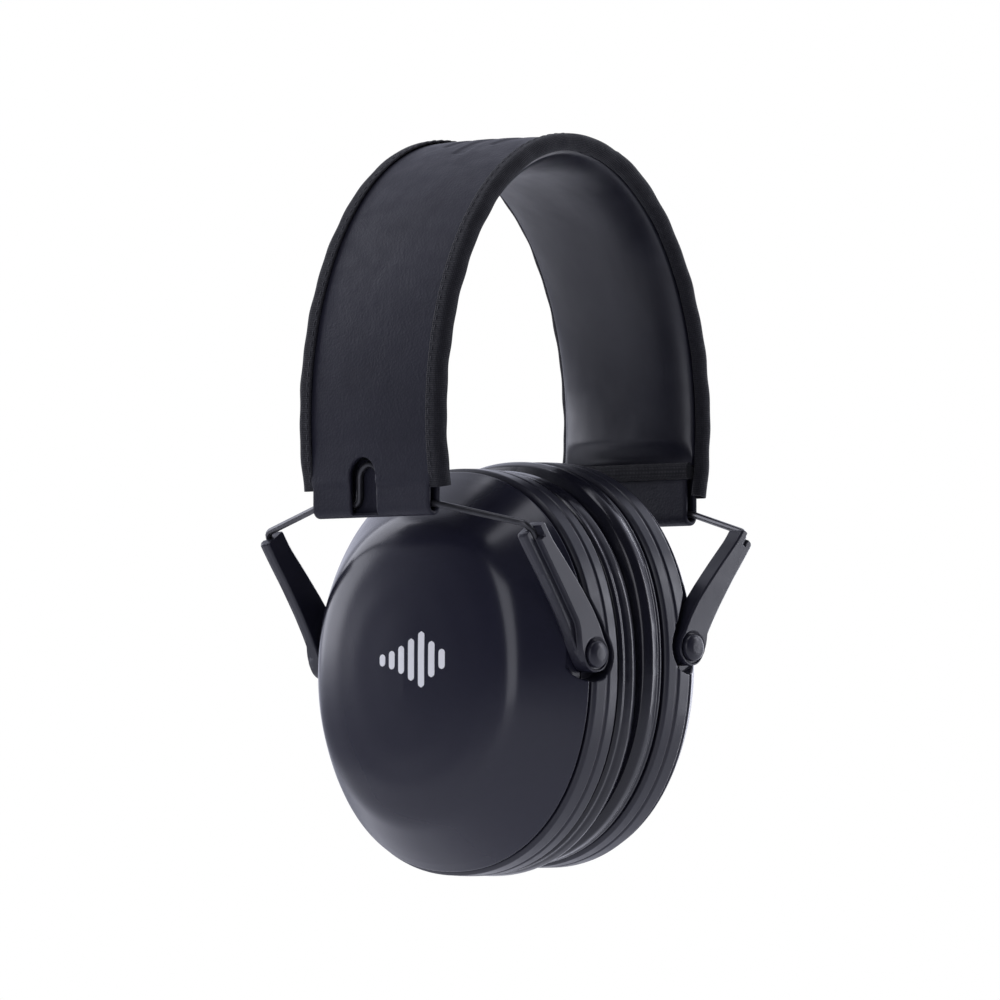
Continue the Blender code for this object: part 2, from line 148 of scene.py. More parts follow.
def make_piece(
    name: str, points: np.ndarray, faces: list[list[int]], look: "Finish", uv: np.ndarray | None = None,
    sharp: float = 50.0,
) -> bpy.types.Object:
    """A named object from points and faces, with its faces turned outwards and shaded smooth.

    Args:
        name: the piece's name.
        points: vertices in the model's frame.
        faces: corner numbers of each face.
        look: the finish it is dressed in.
        uv: one pair of lengths along and across the surface for each vertex.
        sharp: the angle in degrees past which an edge is shaded sharp.

    Returns:
        The new object, at the origin.
    """
    if signed_volume(points, faces) < 0:
        faces = [face[::-1] for face in faces]
    mesh = bpy.data.meshes.new(name)
    mesh.from_pydata(points.tolist(), [], faces)
    mesh.validate()
    if uv is not None:
        layer = mesh.uv_layers.new(name="surface")
        corner = np.zeros(len(mesh.loops), np.int32)
        mesh.loops.foreach_get("vertex_index", corner)
        layer.data.foreach_set("uv", uv[corner].astype(np.float32).ravel())
    mesh.shade_smooth()
    mesh.set_sharp_from_angle(angle=math.radians(sharp))
    obj = bpy.data.objects.new(name, mesh)
    bpy.context.scene.collection.objects.link(obj)
    mesh.materials.append(look.material())
    LOG.info("%s: %d faces", name, len(faces))
    return obj


def tube_grid(
    name: str, grid: np.ndarray, look: "Finish", uv: np.ndarray | None = None, loop: bool = False,
    sharp: float = 50.0,
) -> bpy.types.Object:
    """A closed solid from closed sections laid one after another.

    Args:
        name: the piece's name.
        grid: sections by points by three coordinates.
        look: its finish.
        uv: sections by points by two, or None.
        loop: the last section joins the first, so there are no end caps.
        sharp: the angle in degrees past which an edge is shaded sharp.

    Returns:
        The new object.
    """
    rows, columns = grid.shape[:2]
    faces = quads(rows, columns, loop, True).tolist()
    if not loop:
        faces.append(list(range(columns))[::-1])
        faces.append(list(range((rows - 1) * columns, rows * columns)))
    flat = None if uv is None else uv.reshape(-1, 2)
    return make_piece(name, grid.reshape(-1, 3), faces, look, flat, sharp)


def running_length(line: np.ndarray) -> np.ndarray:
    """Length along a line at each of its points.

    Args:
        line: the line's points.

    Returns:
        The sum of the distances between neighbours up to each point, from zero.
    """
    return np.concatenate([[0], np.cumsum(np.linalg.norm(np.diff(line, axis=0), axis=1))])


def eased(points: list[tuple[float, float]], step: float, reach: float) -> np.ndarray:
    """A polyline in a plane whose corners are eased.

    The line is cut into equal steps, and each point becomes the average of its neighbours within a reach,
    with a raised-cosine weight. The ends stay where they are.

    Args:
        points: the polyline's corners.
        step: spacing of the new points.
        reach: how far the averaging reaches on each side.

    Returns:
        The eased points.
    """
    corners = np.array(points, float)
    along = running_length(corners)
    count = max(8, int(along[-1] / step))
    places = np.linspace(0, along[-1], count + 1)
    line = np.stack([np.interp(places, along, corners[:, k]) for k in range(2)], axis=1)
    half = max(1, int(reach / step))
    weight = 1 + np.cos(np.linspace(-np.pi, np.pi, 2 * half + 3)[1:-1])
    head = 2 * line[0] - line[half:0:-1]
    tail = 2 * line[-1] - line[-2:-half - 2:-1]
    padded = np.concatenate([head, line, tail])
    smooth = np.stack([np.convolve(padded[:, k], weight / weight.sum(), "valid") for k in range(2)], axis=1)
    smooth[0], smooth[-1] = line[0], line[-1]
    return smooth


def thickened(line: np.ndarray, half: float) -> np.ndarray:
    """A closed outline at equal distance on both sides of an open line in a plane.

    Args:
        line: points of the line.
        half: half the thickness.

    Returns:
        One side's points, then the other side's in reverse, with round ends.
    """
    tangent = np.gradient(line, axis=0)
    tangent /= np.linalg.norm(tangent, axis=1)[:, None]
    normal = np.stack([-tangent[:, 1], tangent[:, 0]], axis=1)
    turn = np.linspace(0, np.pi, 5)[1:-1, None]
    end = line[-1] + half * (normal[-1] * np.cos(turn) + tangent[-1] * np.sin(turn))
    start = line[0] + half * (-normal[0] * np.cos(turn) - tangent[0] * np.sin(turn))
    return np.concatenate([line + half * normal, end, (line - half * normal)[::-1], start])


def smoothstep(low: float, high: float, value: np.ndarray) -> np.ndarray:
    """Zero below low, one above high, and a smooth rise between.

    Args:
        low: where the rise starts.
        high: where it ends. It may be below low, for a fall.
        value: the values.

    Returns:
        The rises, from 0 to 1.
    """
    share = np.clip((value - low) / (high - low), 0, 1)
    return share * share * (3 - 2 * share)


# Finishes ------------------------------------------------------------------------------------------


class NodeSheet:
    """A short way to wire a material's nodes. A pattern's grey is used from darkest to lightest."""

    darkest = 0.3
    lightest = 0.7

    def __init__(self, name: str) -> None:
        """Start a material with a Principled shader.

        Args:
            name: the material's name.
        """
        self.made = bpy.data.materials.new(name)
        self.made.use_nodes = True
        self.tree = self.made.node_tree
        self.shader = self.tree.nodes["Principled BSDF"]

    def add(self, kind: str, **values: object) -> bpy.types.Node:
        """Add a node, set its attributes and its inputs.

        Args:
            kind: the node's type.
            values: an attribute's value, or an input's under its name with underscores for spaces.

        Returns:
            The new node.
        """
        node = self.tree.nodes.new(kind)
        for key, value in values.items():
            socket = node.inputs.get(key.replace("_", " "))
            if socket is None:
                setattr(node, key, value)
            else:
                socket.default_value = value
        return node

    def link(self, source: bpy.types.NodeSocket, target: bpy.types.NodeSocket) -> None:
        """Link two sockets.

        Args:
            source: the output.
            target: the input.
        """
        self.tree.links.new(source, target)

    def set(self, **values: object) -> None:
        """Set constant values on the shader's own sockets.

        Args:
            values: each input's value, under its name with underscores for spaces.
        """
        for key, value in values.items():
            self.shader.inputs[key.replace("_", " ")].default_value = value

    def place(self) -> bpy.types.NodeSocket:
        """Object coordinates, in metres.

        Returns:
            The coordinates.
        """
        return self.add("ShaderNodeTexCoord").outputs["Object"]

    def surface(self) -> bpy.types.NodeSocket:
        """The piece's own surface coordinates, in metres along and across.

        Returns:
            The coordinates.
        """
        return self.add("ShaderNodeUVMap", uv_map="surface").outputs["UV"]

    def noise(self, vector: bpy.types.NodeSocket, scale: float, detail: float = 4.0) -> bpy.types.NodeSocket:
        """A noise pattern's grey value.

        Args:
            vector: the coordinates.
            scale: repeats in each metre.
            detail: how many finer layers it has.

        Returns:
            The grey value.
        """
        node = self.add("ShaderNodeTexNoise", Scale=scale, Detail=detail)
        self.link(vector, node.inputs["Vector"])
        return node.outputs["Fac"]

    def cells(self, vector: bpy.types.NodeSocket, scale: float) -> bpy.types.NodeSocket:
        """A cell pattern's distance from the cells' middles.

        Args:
            vector: the coordinates.
            scale: cells in each metre.

        Returns:
            The distance.
        """
        node = self.add("ShaderNodeTexVoronoi", Scale=scale)
        self.link(vector, node.inputs["Vector"])
        return node.outputs["Distance"]

    def spread(self, value: bpy.types.NodeSocket, low: float, high: float) -> bpy.types.NodeSocket:
        """A grey value spread between two others.

        Args:
            value: the grey value.
            low: the lowest value.
            high: the highest value.

        Returns:
            The spread value.
        """
        node = self.add("ShaderNodeMapRange", clamp=True)
        node.inputs["From Min"].default_value = self.darkest
        node.inputs["From Max"].default_value = self.lightest
        node.inputs["To Min"].default_value = low
        node.inputs["To Max"].default_value = high
        self.link(value, node.inputs["Value"])
        return node.outputs["Result"]

    def tint(self, value: bpy.types.NodeSocket, dark: tuple, light: tuple) -> None:
        """Colour the shader between two colours by a grey value.

        Args:
            value: the grey value.
            dark: colour at the darkest grey.
            light: colour at the lightest.
        """
        ramp = self.add("ShaderNodeValToRGB")
        ramp.color_ramp.elements[0].position = self.darkest
        ramp.color_ramp.elements[1].position = self.lightest
        ramp.color_ramp.elements[0].color = (*dark, 1)
        ramp.color_ramp.elements[1].color = (*light, 1)
        self.link(value, ramp.inputs["Fac"])
        self.link(ramp.outputs["Color"], self.shader.inputs["Base Color"])

    def rough(self, value: bpy.types.NodeSocket, low: float, high: float) -> None:
        """Let roughness vary between two values by a grey value.

        Args:
            value: the grey value.
            low: the lowest value.
            high: the highest value.
        """
        self.link(self.spread(value, low, high), self.shader.inputs["Roughness"])

    def bumps(self, *layers: tuple[bpy.types.NodeSocket, float, float]) -> None:
        """Chain bump layers, each a height, its strength and its depth in metres.

        Args:
            layers: the layers, from the coarsest to the finest.
        """
        before = None
        for height, strength, depth in layers:
            bump = self.add("ShaderNodeBump", Strength=strength, Distance=depth)
            self.link(height, bump.inputs["Height"])
            if before is not None:
                self.link(before.outputs["Normal"], bump.inputs["Normal"])
            before = bump
        self.link(before.outputs["Normal"], self.shader.inputs["Normal"])


@dataclass(frozen=True)
class Finish:
    """A finish: two close colours that a noise mixes, a range of roughness, and how it is made."""

    name: str
    dark: tuple[float, float, float]
    light: tuple[float, float, float]
    low_rough: float
    high_rough: float
    slot: str

    def material(self) -> bpy.types.Material:
        """The finish's material, made on first use.

        Returns:
            The material.
        """
        found = bpy.data.materials.get(self.name)
        if found is None:
            sheet = NodeSheet(self.name)
            self.paint(sheet)
            found = sheet.made
        return found

    def paint(self, sheet: NodeSheet) -> None:
        """Wire the material's nodes.

        Args:
            sheet: the material being wired.
        """
        place = sheet.place()
        sheet.tint(sheet.noise(place, 60.0), self.dark, self.light)
        sheet.rough(sheet.noise(place, 90.0), self.low_rough, self.high_rough)


class Leatherette(Finish):
    """Matt embossed leatherette: fine pebbled grain over a slow waviness."""

    def paint(self, sheet: NodeSheet) -> None:
        """Wire the grain, the tint and the sheen.

        Args:
            sheet: the material being wired.
        """
        place = sheet.place()
        slow = sheet.noise(place, 45.0)
        sheet.tint(slow, self.dark, self.light)
        sheet.rough(sheet.noise(place, 220.0), self.low_rough, self.high_rough)
        sheet.set(Specular_IOR_Level=0.28)
        pebbles, pores = sheet.cells(place, 1500.0), sheet.noise(place, 3200.0)
        sheet.bumps((slow, 0.25, 0.0012), (pebbles, 0.32, 0.00016), (pores, 0.18, 0.0001))


class WovenTape(Finish):
    """Ribbed binding tape: fine cross ribs crossed by warp threads."""

    def paint(self, sheet: NodeSheet) -> None:
        """Wire two crossed thread waves on the tape's own lengths.

        Args:
            sheet: the material being wired.
        """
        surface = sheet.surface()
        rib = self.threads(sheet, surface, "X", 640.0)
        warp = self.threads(sheet, surface, "Y", 760.0)
        weave = sheet.add("ShaderNodeMath", operation="MULTIPLY")
        sheet.link(rib, weave.inputs[0])
        sheet.link(warp, weave.inputs[1])
        sheet.tint(weave.outputs[0], self.dark, self.light)
        sheet.rough(sheet.noise(sheet.place(), 500.0), self.low_rough, self.high_rough)
        sheet.set(Sheen_Weight=0.12, Sheen_Roughness=0.5, Specular_IOR_Level=0.3)
        sheet.bumps((weave.outputs[0], 0.6, 0.0002), (sheet.noise(sheet.place(), 1800.0), 0.35, 0.0002))

    @staticmethod
    def threads(
        sheet: NodeSheet, surface: bpy.types.NodeSocket, way: str, scale: float
    ) -> bpy.types.NodeSocket:
        """Round threads across one direction.

        Args:
            sheet: the material being wired.
            surface: the tape's own coordinates.
            way: the axis that the threads follow one another along.
            scale: the wave's scale.

        Returns:
            Their height.
        """
        wave = sheet.add("ShaderNodeTexWave", bands_direction=way, Scale=scale, Distortion=0.6)
        wave.inputs["Detail Scale"].default_value = 2.0
        sheet.link(surface, wave.inputs["Vector"])
        return wave.outputs["Fac"]


class PadVinyl(Finish):
    """Smooth semi-gloss vinyl drawn over foam, with faint creases."""

    def paint(self, sheet: NodeSheet) -> None:
        """Wire slow creases and a very fine skin.

        Args:
            sheet: the material being wired.
        """
        place = sheet.place()
        sheet.tint(sheet.noise(place, 50.0), self.dark, self.light)
        sheet.rough(sheet.noise(place, 140.0), self.low_rough, self.high_rough)
        sheet.set(Specular_IOR_Level=0.45, Coat_Weight=0.12, Coat_Roughness=0.2)
        creases, skin = sheet.noise(place, 70.0, 2.0), sheet.noise(place, 320.0, 2.0)
        sheet.bumps((creases, 0.20, 0.0012), (skin, 0.06, 0.0004))


class MouldedPlastic(Finish):
    """Moulded plastic: a faint spark-eroded grain and a slight waviness from shrinking."""

    def paint(self, sheet: NodeSheet) -> None:
        """Wire the grain, tint and roughness.

        Args:
            sheet: the material being wired.
        """
        place = sheet.place()
        sheet.tint(sheet.noise(place, 35.0), self.dark, self.light)
        sheet.rough(sheet.noise(place, 180.0), self.low_rough, self.high_rough)
        waviness, grain = sheet.noise(place, 55.0, 0.0), sheet.noise(place, 2800.0, 2.0)
        sheet.bumps((waviness, 0.05, 0.0008), (grain, 0.08, 0.00006))


class CoatedWire(Finish):
    """Black coated spring wire."""

    def paint(self, sheet: NodeSheet) -> None:
        """Wire the coat over metal.

        Args:
            sheet: the material being wired.
        """
        place = sheet.place()
        sheet.tint(sheet.noise(place, 200.0), self.dark, self.light)
        sheet.rough(sheet.noise(place, 400.0), self.low_rough, self.high_rough)
        sheet.set(Metallic=0.6, Coat_Weight=0.3, Coat_Roughness=0.15)
        sheet.bumps((sheet.noise(place, 1500.0), 0.12, 0.0001))


class OpenFoam(Finish):
    """Open-cell foam: dark pores between lighter walls."""

    def paint(self, sheet: NodeSheet) -> None:
        """Wire the pores.

        Args:
            sheet: the material being wired.
        """
        place = sheet.place()
        pores = sheet.cells(place, 900.0)
        sheet.tint(pores, self.light, self.dark)
        sheet.rough(sheet.noise(place, 300.0), self.low_rough, self.high_rough)
        sheet.bumps((pores, 0.9, 0.0006), (sheet.noise(place, 120.0), 0.4, 0.0015))


class BrushedSteel(Finish):
    """Plain rolled spring steel."""

    def paint(self, sheet: NodeSheet) -> None:
        """Wire the rolled streaks.

        Args:
            sheet: the material being wired.
        """
        place = sheet.place()
        sheet.tint(sheet.noise(place, 150.0), self.dark, self.light)
        sheet.rough(sheet.noise(place, 600.0), self.low_rough, self.high_rough)
        sheet.set(Metallic=1.0)


COVER = Leatherette(
    "cover_leatherette", dark=(0.012, 0.012, 0.021), light=(0.017, 0.017, 0.028),
    low_rough=0.48, high_rough=0.60, slot="band_cover"
)
TAPE = WovenTape(
    "binding_tape", dark=(0.007, 0.007, 0.010), light=(0.018, 0.017, 0.024),
    low_rough=0.75, high_rough=0.9, slot="woven_tape"
)
THREAD = Finish(
    "stitching_thread", dark=(0.020, 0.020, 0.025), light=(0.040, 0.040, 0.048),
    low_rough=0.45, high_rough=0.6, slot="woven_tape"
)
PAD = PadVinyl(
    "pad_vinyl", dark=(0.009, 0.009, 0.015), light=(0.013, 0.013, 0.021),
    low_rough=0.30, high_rough=0.40, slot="pad_lining"
)
SHELL = MouldedPlastic(
    "shell_plastic", dark=(0.0165, 0.0165, 0.0290), light=(0.0175, 0.0175, 0.0305),
    low_rough=0.19, high_rough=0.22, slot="shell_satin"
)
MOULDED = MouldedPlastic(
    "moulded_plastic", dark=(0.012, 0.012, 0.020), light=(0.016, 0.016, 0.026),
    low_rough=0.28, high_rough=0.38, slot="moulded_black"
)
WIRE = CoatedWire(
    "coated_wire", dark=(0.030, 0.030, 0.034), light=(0.050, 0.050, 0.056),
    low_rough=0.30, high_rough=0.42, slot="bail_wire"
)
CUSHION = PadVinyl(
    "cushion_vinyl", dark=(0.007, 0.007, 0.012), light=(0.010, 0.010, 0.017),
    low_rough=0.15, high_rough=0.23, slot="cushion_skin"
)
FOAM = OpenFoam(
    "liner_foam", dark=(0.015, 0.015, 0.016), light=(0.075, 0.075, 0.078),
    low_rough=0.9, high_rough=0.98, slot="foam"
)
STEEL = BrushedSteel(
    "spring_steel", dark=(0.40, 0.41, 0.43), light=(0.48, 0.49, 0.51),
    low_rough=0.30, high_rough=0.42, slot="spring_steel"
)
PRINT = Finish(
    "white_print", dark=(0.90, 0.90, 0.90), light=(0.95, 0.95, 0.95),
    low_rough=0.45, high_rough=0.55, slot="shell_satin"
)


# Headband ------------------------------------------------------------------------------------------


@dataclass
class Headband:
    """The padded band. Its line is the upper half of an ellipse, and depths are along its normal."""

    half_wide: float = 50.0 * MM
    high: float = 71.0 * MM
    crown_top: float = 8.0 * MM
    hook_roll: float = 2.3 * MM
    hook_wall: float = 14.4 * MM
    step: float = 0.7 * MM
    sheet_half: float = 20.8 * MM
    sheet_thick: float = 1.15 * MM
    edge: float = 24.3 * MM
    lap: float = 4.4 * MM
    stitch_pitch: float = 2.6 * MM

    def ellipse(self, angles: np.ndarray, depth: float | np.ndarray = 0.0) -> np.ndarray:
        """Points (x, z) on the ellipse, moved outwards along its normal.

        Args:
            angles: angle from the crown, in radians.
            depth: distance outwards.

        Returns:
            The points, with x positive on the right.
        """
        normal = np.stack([np.sin(angles) / self.half_wide, np.cos(angles) / self.high], axis=-1)
        normal /= np.linalg.norm(normal, axis=-1, keepdims=True)
        x, z = self.half_wide * np.sin(angles), self.crown_top - self.high + self.high * np.cos(angles)
        base = np.stack([x, z], axis=-1)
        return base + normal * np.asarray(depth)[..., None]

    def angle_at(self, z: float) -> float:
        """The angle from the crown at which the ellipse reaches a height.

        Args:
            z: the height.

        Returns:
            The angle in radians.
        """
        return math.acos((z - self.crown_top + self.high) / self.high)

    def band_line(self, end_z: float) -> np.ndarray:
        """Angles from the crown to a height, at equal steps along the ellipse.

        Args:
            end_z: the height where the line ends.

        Returns:
            The angles in radians.
        """
        fine = np.linspace(0, self.angle_at(end_z), 2000)
        along = running_length(self.ellipse(fine))
        return np.interp(np.linspace(0, along[-1], int(along[-1] / self.step) + 1), along, fine)

    def sweep(self, side: Side, angles: np.ndarray, section: np.ndarray) -> tuple[np.ndarray, np.ndarray]:
        """Carry a section of (y, depth) along the ellipse.

        Args:
            side: which leg.
            angles: angles from the crown.
            section: points by two, or stations by points by two.

        Returns:
            The grid of points, and each point's lengths along and across.
        """
        section = np.broadcast_to(section, (len(angles), *section.shape[-2:]))
        middle = self.ellipse(angles[:, None], section[..., 1])
        grid = np.stack([side.value * middle[..., 0], section[..., 0], middle[..., 1]], axis=-1)
        along, ring = running_length(self.ellipse(angles)), running_length(section[0])
        uv = np.stack(np.broadcast_arrays(along[:, None], ring[None, :]), axis=-1)
        return grid, uv

    def bend(self, piece: bpy.types.Object, side: Side) -> bpy.types.Object:
        """Bake a piece's placement into its mesh.

        Args:
            piece: the piece.
            side: not used.

        Returns:
            The same piece.
        """
        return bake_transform(piece)

    def sheet_line(self) -> np.ndarray:
        """The cover's outer line in X and Z: along the ellipse, straight down, then rolled inwards and up.

        Returns:
            The line's points.
        """
        leg = self.ellipse(self.band_line(-69.0 * MM), -0.3 * MM)
        centre = np.array([HOOK_X, HOOK_BOTTOM + self.hook_roll])
        turn = np.linspace(0, -np.pi, 24)
        roll = centre + self.hook_roll * np.stack([np.cos(turn), np.sin(turn)], axis=1)
        inner_wall = [[HOOK_X - self.hook_roll, HOOK_BOTTOM + self.hook_wall]]
        points = np.concatenate([leg, roll, inner_wall])
        return eased(points.tolist(), 0.45 * MM, 1.0 * MM)

    def cover(self, side: Side) -> bpy.types.Object:
        """The outer leatherette sheet with its rolled hook, and the arched slot cut in it.

        The surface is the rolled line carried across Y. It bulges by a parabola across, and narrows where
        the bindings end.

        Args:
            side: which side of the headband.

        Returns:
            The sheet.
        """
        line = self.sheet_line()
        tangent = np.gradient(line, axis=0)
        tangent /= np.linalg.norm(tangent, axis=1)[:, None]
        inward = np.stack([tangent[:, 1], -tangent[:, 0]], axis=1)
        narrow = np.maximum.accumulate(smoothstep(-79.0 * MM, -80.6 * MM, line[:, 1]))
        tucked = np.maximum.accumulate(smoothstep(-64.0 * MM, -71.0 * MM, line[:, 1]))
        half = self.sheet_half - 1.05 * MM * tucked - 0.55 * MM * narrow
        across = np.linspace(-1, 1, 91)
        outer = across[None, :] * half[:, None]
        bulge = 0.55 * MM * (1 - across[None, :] ** 2) * (1 - narrow[:, None])
        bulge -= self.embossing(line, outer)
        rows = [(outer, -bulge)]
        turn = np.linspace(np.pi / 2, -np.pi / 2, 7)[1:-1]
        round_y, round_d = 0.5 * self.sheet_thick * np.cos(turn), 0.5 * self.sheet_thick * (1 - np.sin(turn))
        edges = (len(line), len(turn))
        rows.append((half[:, None] + round_y, np.broadcast_to(round_d, edges)))
        rows.append((outer[:, ::-1], np.full_like(outer, self.sheet_thick)))
        rows.append((-(half[:, None] + round_y[::-1]), np.broadcast_to(round_d[::-1], edges)))
        y = np.concatenate([r[0] for r in rows], axis=1)
        depth = np.concatenate([r[1] for r in rows], axis=1)
        place = line[:, None, :] + inward[:, None, :] * depth[..., None]
        grid = np.stack([side.value * place[..., 0], y, place[..., 1]], axis=-1)
        piece = tube_grid(side.word + "_cover_sheet", grid, COVER)
        self.cut_slot(piece, side)
        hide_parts(f"{side.word}_outer_cover", f"{side.word}_end_hook")
        if side is Side.LEFT:
            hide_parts("crown_outer_cover")
        return self.bend(piece, side)

    @staticmethod
    def embossing(line: np.ndarray, y: np.ndarray) -> np.ndarray:
        """Depth of a generic embossed mark of three bars at the crown.

        Each bar is a smooth-edged box in the lengths along X and across Y.

        Args:
            line: points of the cover's line, in X and Z.
            y: Y of the cover's points, line points by points across.

        Returns:
            Heights above the plain sheet.
        """
        x = np.broadcast_to(line[:, :1], y.shape)
        on_top = line[:, 1:] > -20.0 * MM
        depth = np.zeros_like(y)
        for middle, reach in ((-8.0 * MM, 13.0 * MM), (0.0, 18.0 * MM), (8.0 * MM, 13.0 * MM)):
            within_width = smoothstep(2.4 * MM, 1.5 * MM, abs(y - middle))
            within_length = smoothstep(reach, reach - 1.2 * MM, abs(x))
            depth = np.maximum(depth, within_width * within_length * on_top)
        return 0.40 * MM * depth

    def cut_slot(self, piece: bpy.types.Object, side: Side) -> None:
        """Cut an arched slot through the hook's outer wall, open through its rolled bottom.

        Args:
            piece: the cover sheet.
            side: which side of the headband.
        """
        radius, middle = 4.55 * MM, SLOT_Y
        arch_z, floor_z = HOOK_BOTTOM + 10.45 * MM, HOOK_BOTTOM + 0.6 * MM
        turn = np.linspace(0, np.pi, 33)
        arch = np.stack([middle + radius * np.cos(turn), arch_z + radius * np.sin(turn)], axis=1)
        outline = np.concatenate([arch, [[middle - radius, floor_z], [middle + radius, floor_z]]])
        faces_x = np.array([47.4 * MM, 54.0 * MM]) * side.value
        grid = np.stack([np.column_stack([np.full(len(outline), x), outline]) for x in faces_x])
        cutter = tube_grid(side.word + "_slot_cutter", grid, COVER)
        modifier = piece.modifiers.new("slot", "BOOLEAN")
        modifier.operation, modifier.solver, modifier.object = "DIFFERENCE", "EXACT", cutter
        bpy.context.view_layer.update()
        graph = bpy.context.evaluated_depsgraph_get()
        mesh = bpy.data.meshes.new_from_object(piece.evaluated_get(graph))
        piece.modifiers.clear()
        piece.data = mesh
        bpy.data.objects.remove(cutter, do_unlink=True)

    def binding(self, side: Side, edge: Edge) -> bpy.types.Object:
        """Woven tape folded round one edge of the band.

        Its section is a line along the outer face and half a circle round the edge, made thick. The outer lap
        puckers a little between stitches, and the fold wanders by 0.2 mm. On the right, the tape's end laps
        over its start, cut at a slant.

        Args:
            side: which side of the headband.
            edge: front or rear.

        Returns:
            The tape.
        """
        radius, middle = 1.9 * MM, -1.55 * MM
        centre_y = self.edge - radius - 0.28 * MM
        turn = np.linspace(np.pi / 2, -np.pi / 2, 17)
        fold = np.stack([centre_y + radius * np.cos(turn), middle + radius * np.sin(turn)], axis=1)
        lap_y = np.linspace(self.edge - self.lap, centre_y, 9)[:-1]
        outer = np.stack([lap_y, np.full(len(lap_y), middle + radius)], axis=1)
        line = np.concatenate([outer, fold])
        section, lapped = thickened(line, 0.27 * MM), thickened(line, 0.46 * MM)
        angles = self.band_line(HOOK_BOTTOM + 7.0 * MM)
        along = np.arange(len(angles)) * self.step
        start = 5.0 * MM + 11.0 * MM * smoothstep(middle - radius, middle + radius, section[:, 1])
        over = smoothstep(0.0, 0.5 * MM, along[:, None] - start[None, :]) * (side is Side.RIGHT)
        over = over * smoothstep(40.0 * MM, 30.0 * MM, along)[:, None]
        sections = section[None] + (lapped - section)[None] * over[..., None]
        pucker = 0.07 * MM * np.cos(2 * np.pi * along / self.stitch_pitch)
        near_lap = smoothstep(2.2 * MM, 0.3 * MM, sections[..., 0] - (self.edge - self.lap))
        outside = sections[..., 1] > middle
        sections[..., 1] += pucker[:, None] * near_lap * outside
        wave = 0.11 * MM * np.sin(along / (1.5 * MM)) + 0.10 * MM * np.sin(along / (2.7 * MM) + edge.value)
        wave = wave * smoothstep(0.0, 5.0 * MM, along)
        sections[..., 0] += wave[:, None] * smoothstep(centre_y - 1.5 * MM, self.edge, sections[..., 0])
        sections[..., 0] *= edge.value
        grid, uv = self.sweep(side, angles, sections)
        piece = tube_grid(f"{side.word}_tape_{edge.word}", grid, TAPE, uv)
        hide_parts(f"{side.word}_edge_binding_{edge.word}")
        if side is Side.LEFT:
            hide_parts(f"crown_edge_binding_{edge.word}")
        return self.bend(piece, side)

    def stitches(self, side: Side, edge: Edge) -> bpy.types.Object:
        """A row of short threads along the tape's inner edge, one for each pitch.

        Each is a spindle: rings of six points whose radius follows half a sine along the thread.

        Args:
            side: which side of the headband.
            edge: front or rear.

        Returns:
            The threads, as one piece.
        """
        rings, around = 7, 6
        each = rings * around
        angles = self.band_line(HOOK_BOTTOM + 8.0 * MM)
        along = np.arange(len(angles)) * self.step
        starts = np.arange(0.6 * MM, along[-1] - self.stitch_pitch, self.stitch_pitch)
        share = np.linspace(0, 1, rings)
        ring = np.linspace(0, 2 * np.pi, around, endpoint=False)
        places = starts[:, None] + share[None, :] * self.stitch_pitch * 0.68
        turn = np.interp(places, along, angles)
        thick = 0.17 * MM * np.sin(np.pi * (0.08 + 0.84 * share)) ** 0.5
        depth = 0.62 * MM - 0.16 * MM * (2 * share - 1) ** 4
        y = (self.edge - self.lap + 0.85 * MM) * edge.value + thick[None, :, None] * np.cos(ring)
        y = np.broadcast_to(y, (len(starts), rings, around))
        lift = depth[None, :, None] + thick[None, :, None] * np.sin(ring)
        middle = self.ellipse(turn[..., None], np.broadcast_to(lift, y.shape))
        grid = np.stack([side.value * middle[..., 0], y, middle[..., 1]], axis=-1)
        caps = [list(range(around))[::-1], list(range(each - around, each))]
        one = quads(rings, around, False, True).tolist() + caps
        faces = [[corner + each * k for corner in face] for k in range(len(starts)) for face in one]
        piece = make_piece(f"{side.word}_stitches_{edge.word}", grid.reshape(-1, 3), faces, THREAD)
        return self.bend(piece, side)

    def pad(self, side: Side) -> bpy.types.Object:
        """The padded lining: flat above, a full soft crown below, and drawn down to a hem at its end.

        The crown's height across is (1 - |share| ** 2.6) ** 0.7, with a slow swell along the band.

        Args:
            side: which side of the headband.

        Returns:
            The lining.
        """
        angles = self.band_line(-73.2 * MM)
        along = np.arange(len(angles)) * self.step
        turn = np.linspace(-1, 1, 57)
        share = np.sin(turn * np.pi / 2)
        rise = (1 - abs(share) ** 2.6) ** 0.7
        full = smoothstep(along[-1] + 0.4 * MM, along[-1] - 7.0 * MM, along)
        swell = 1 + 0.03 * np.sin(along / (9.0 * MM)) * smoothstep(8.0 * MM, 20.0 * MM, along)
        thick = 1.1 * MM + 3.7 * MM * rise[None, :] * (full * swell)[:, None]
        half, back = 21.6 * MM, -3.2 * MM
        flat = np.full((len(angles), 1), back)
        lower = np.stack(np.broadcast_arrays(half * share[None, :], back - thick), axis=-1)
        upper = np.stack(np.broadcast_arrays(half * share[None, ::-1], flat), axis=-1)
        grid, uv = self.sweep(side, angles, np.concatenate([lower, upper], axis=1))
        piece = tube_grid(side.word + "_pad", grid, PAD, uv)
        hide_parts(side.word + "_head_pad")
        if side is Side.LEFT:
            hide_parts("crown_head_pad")
        self.bend(piece, side)
        return piece

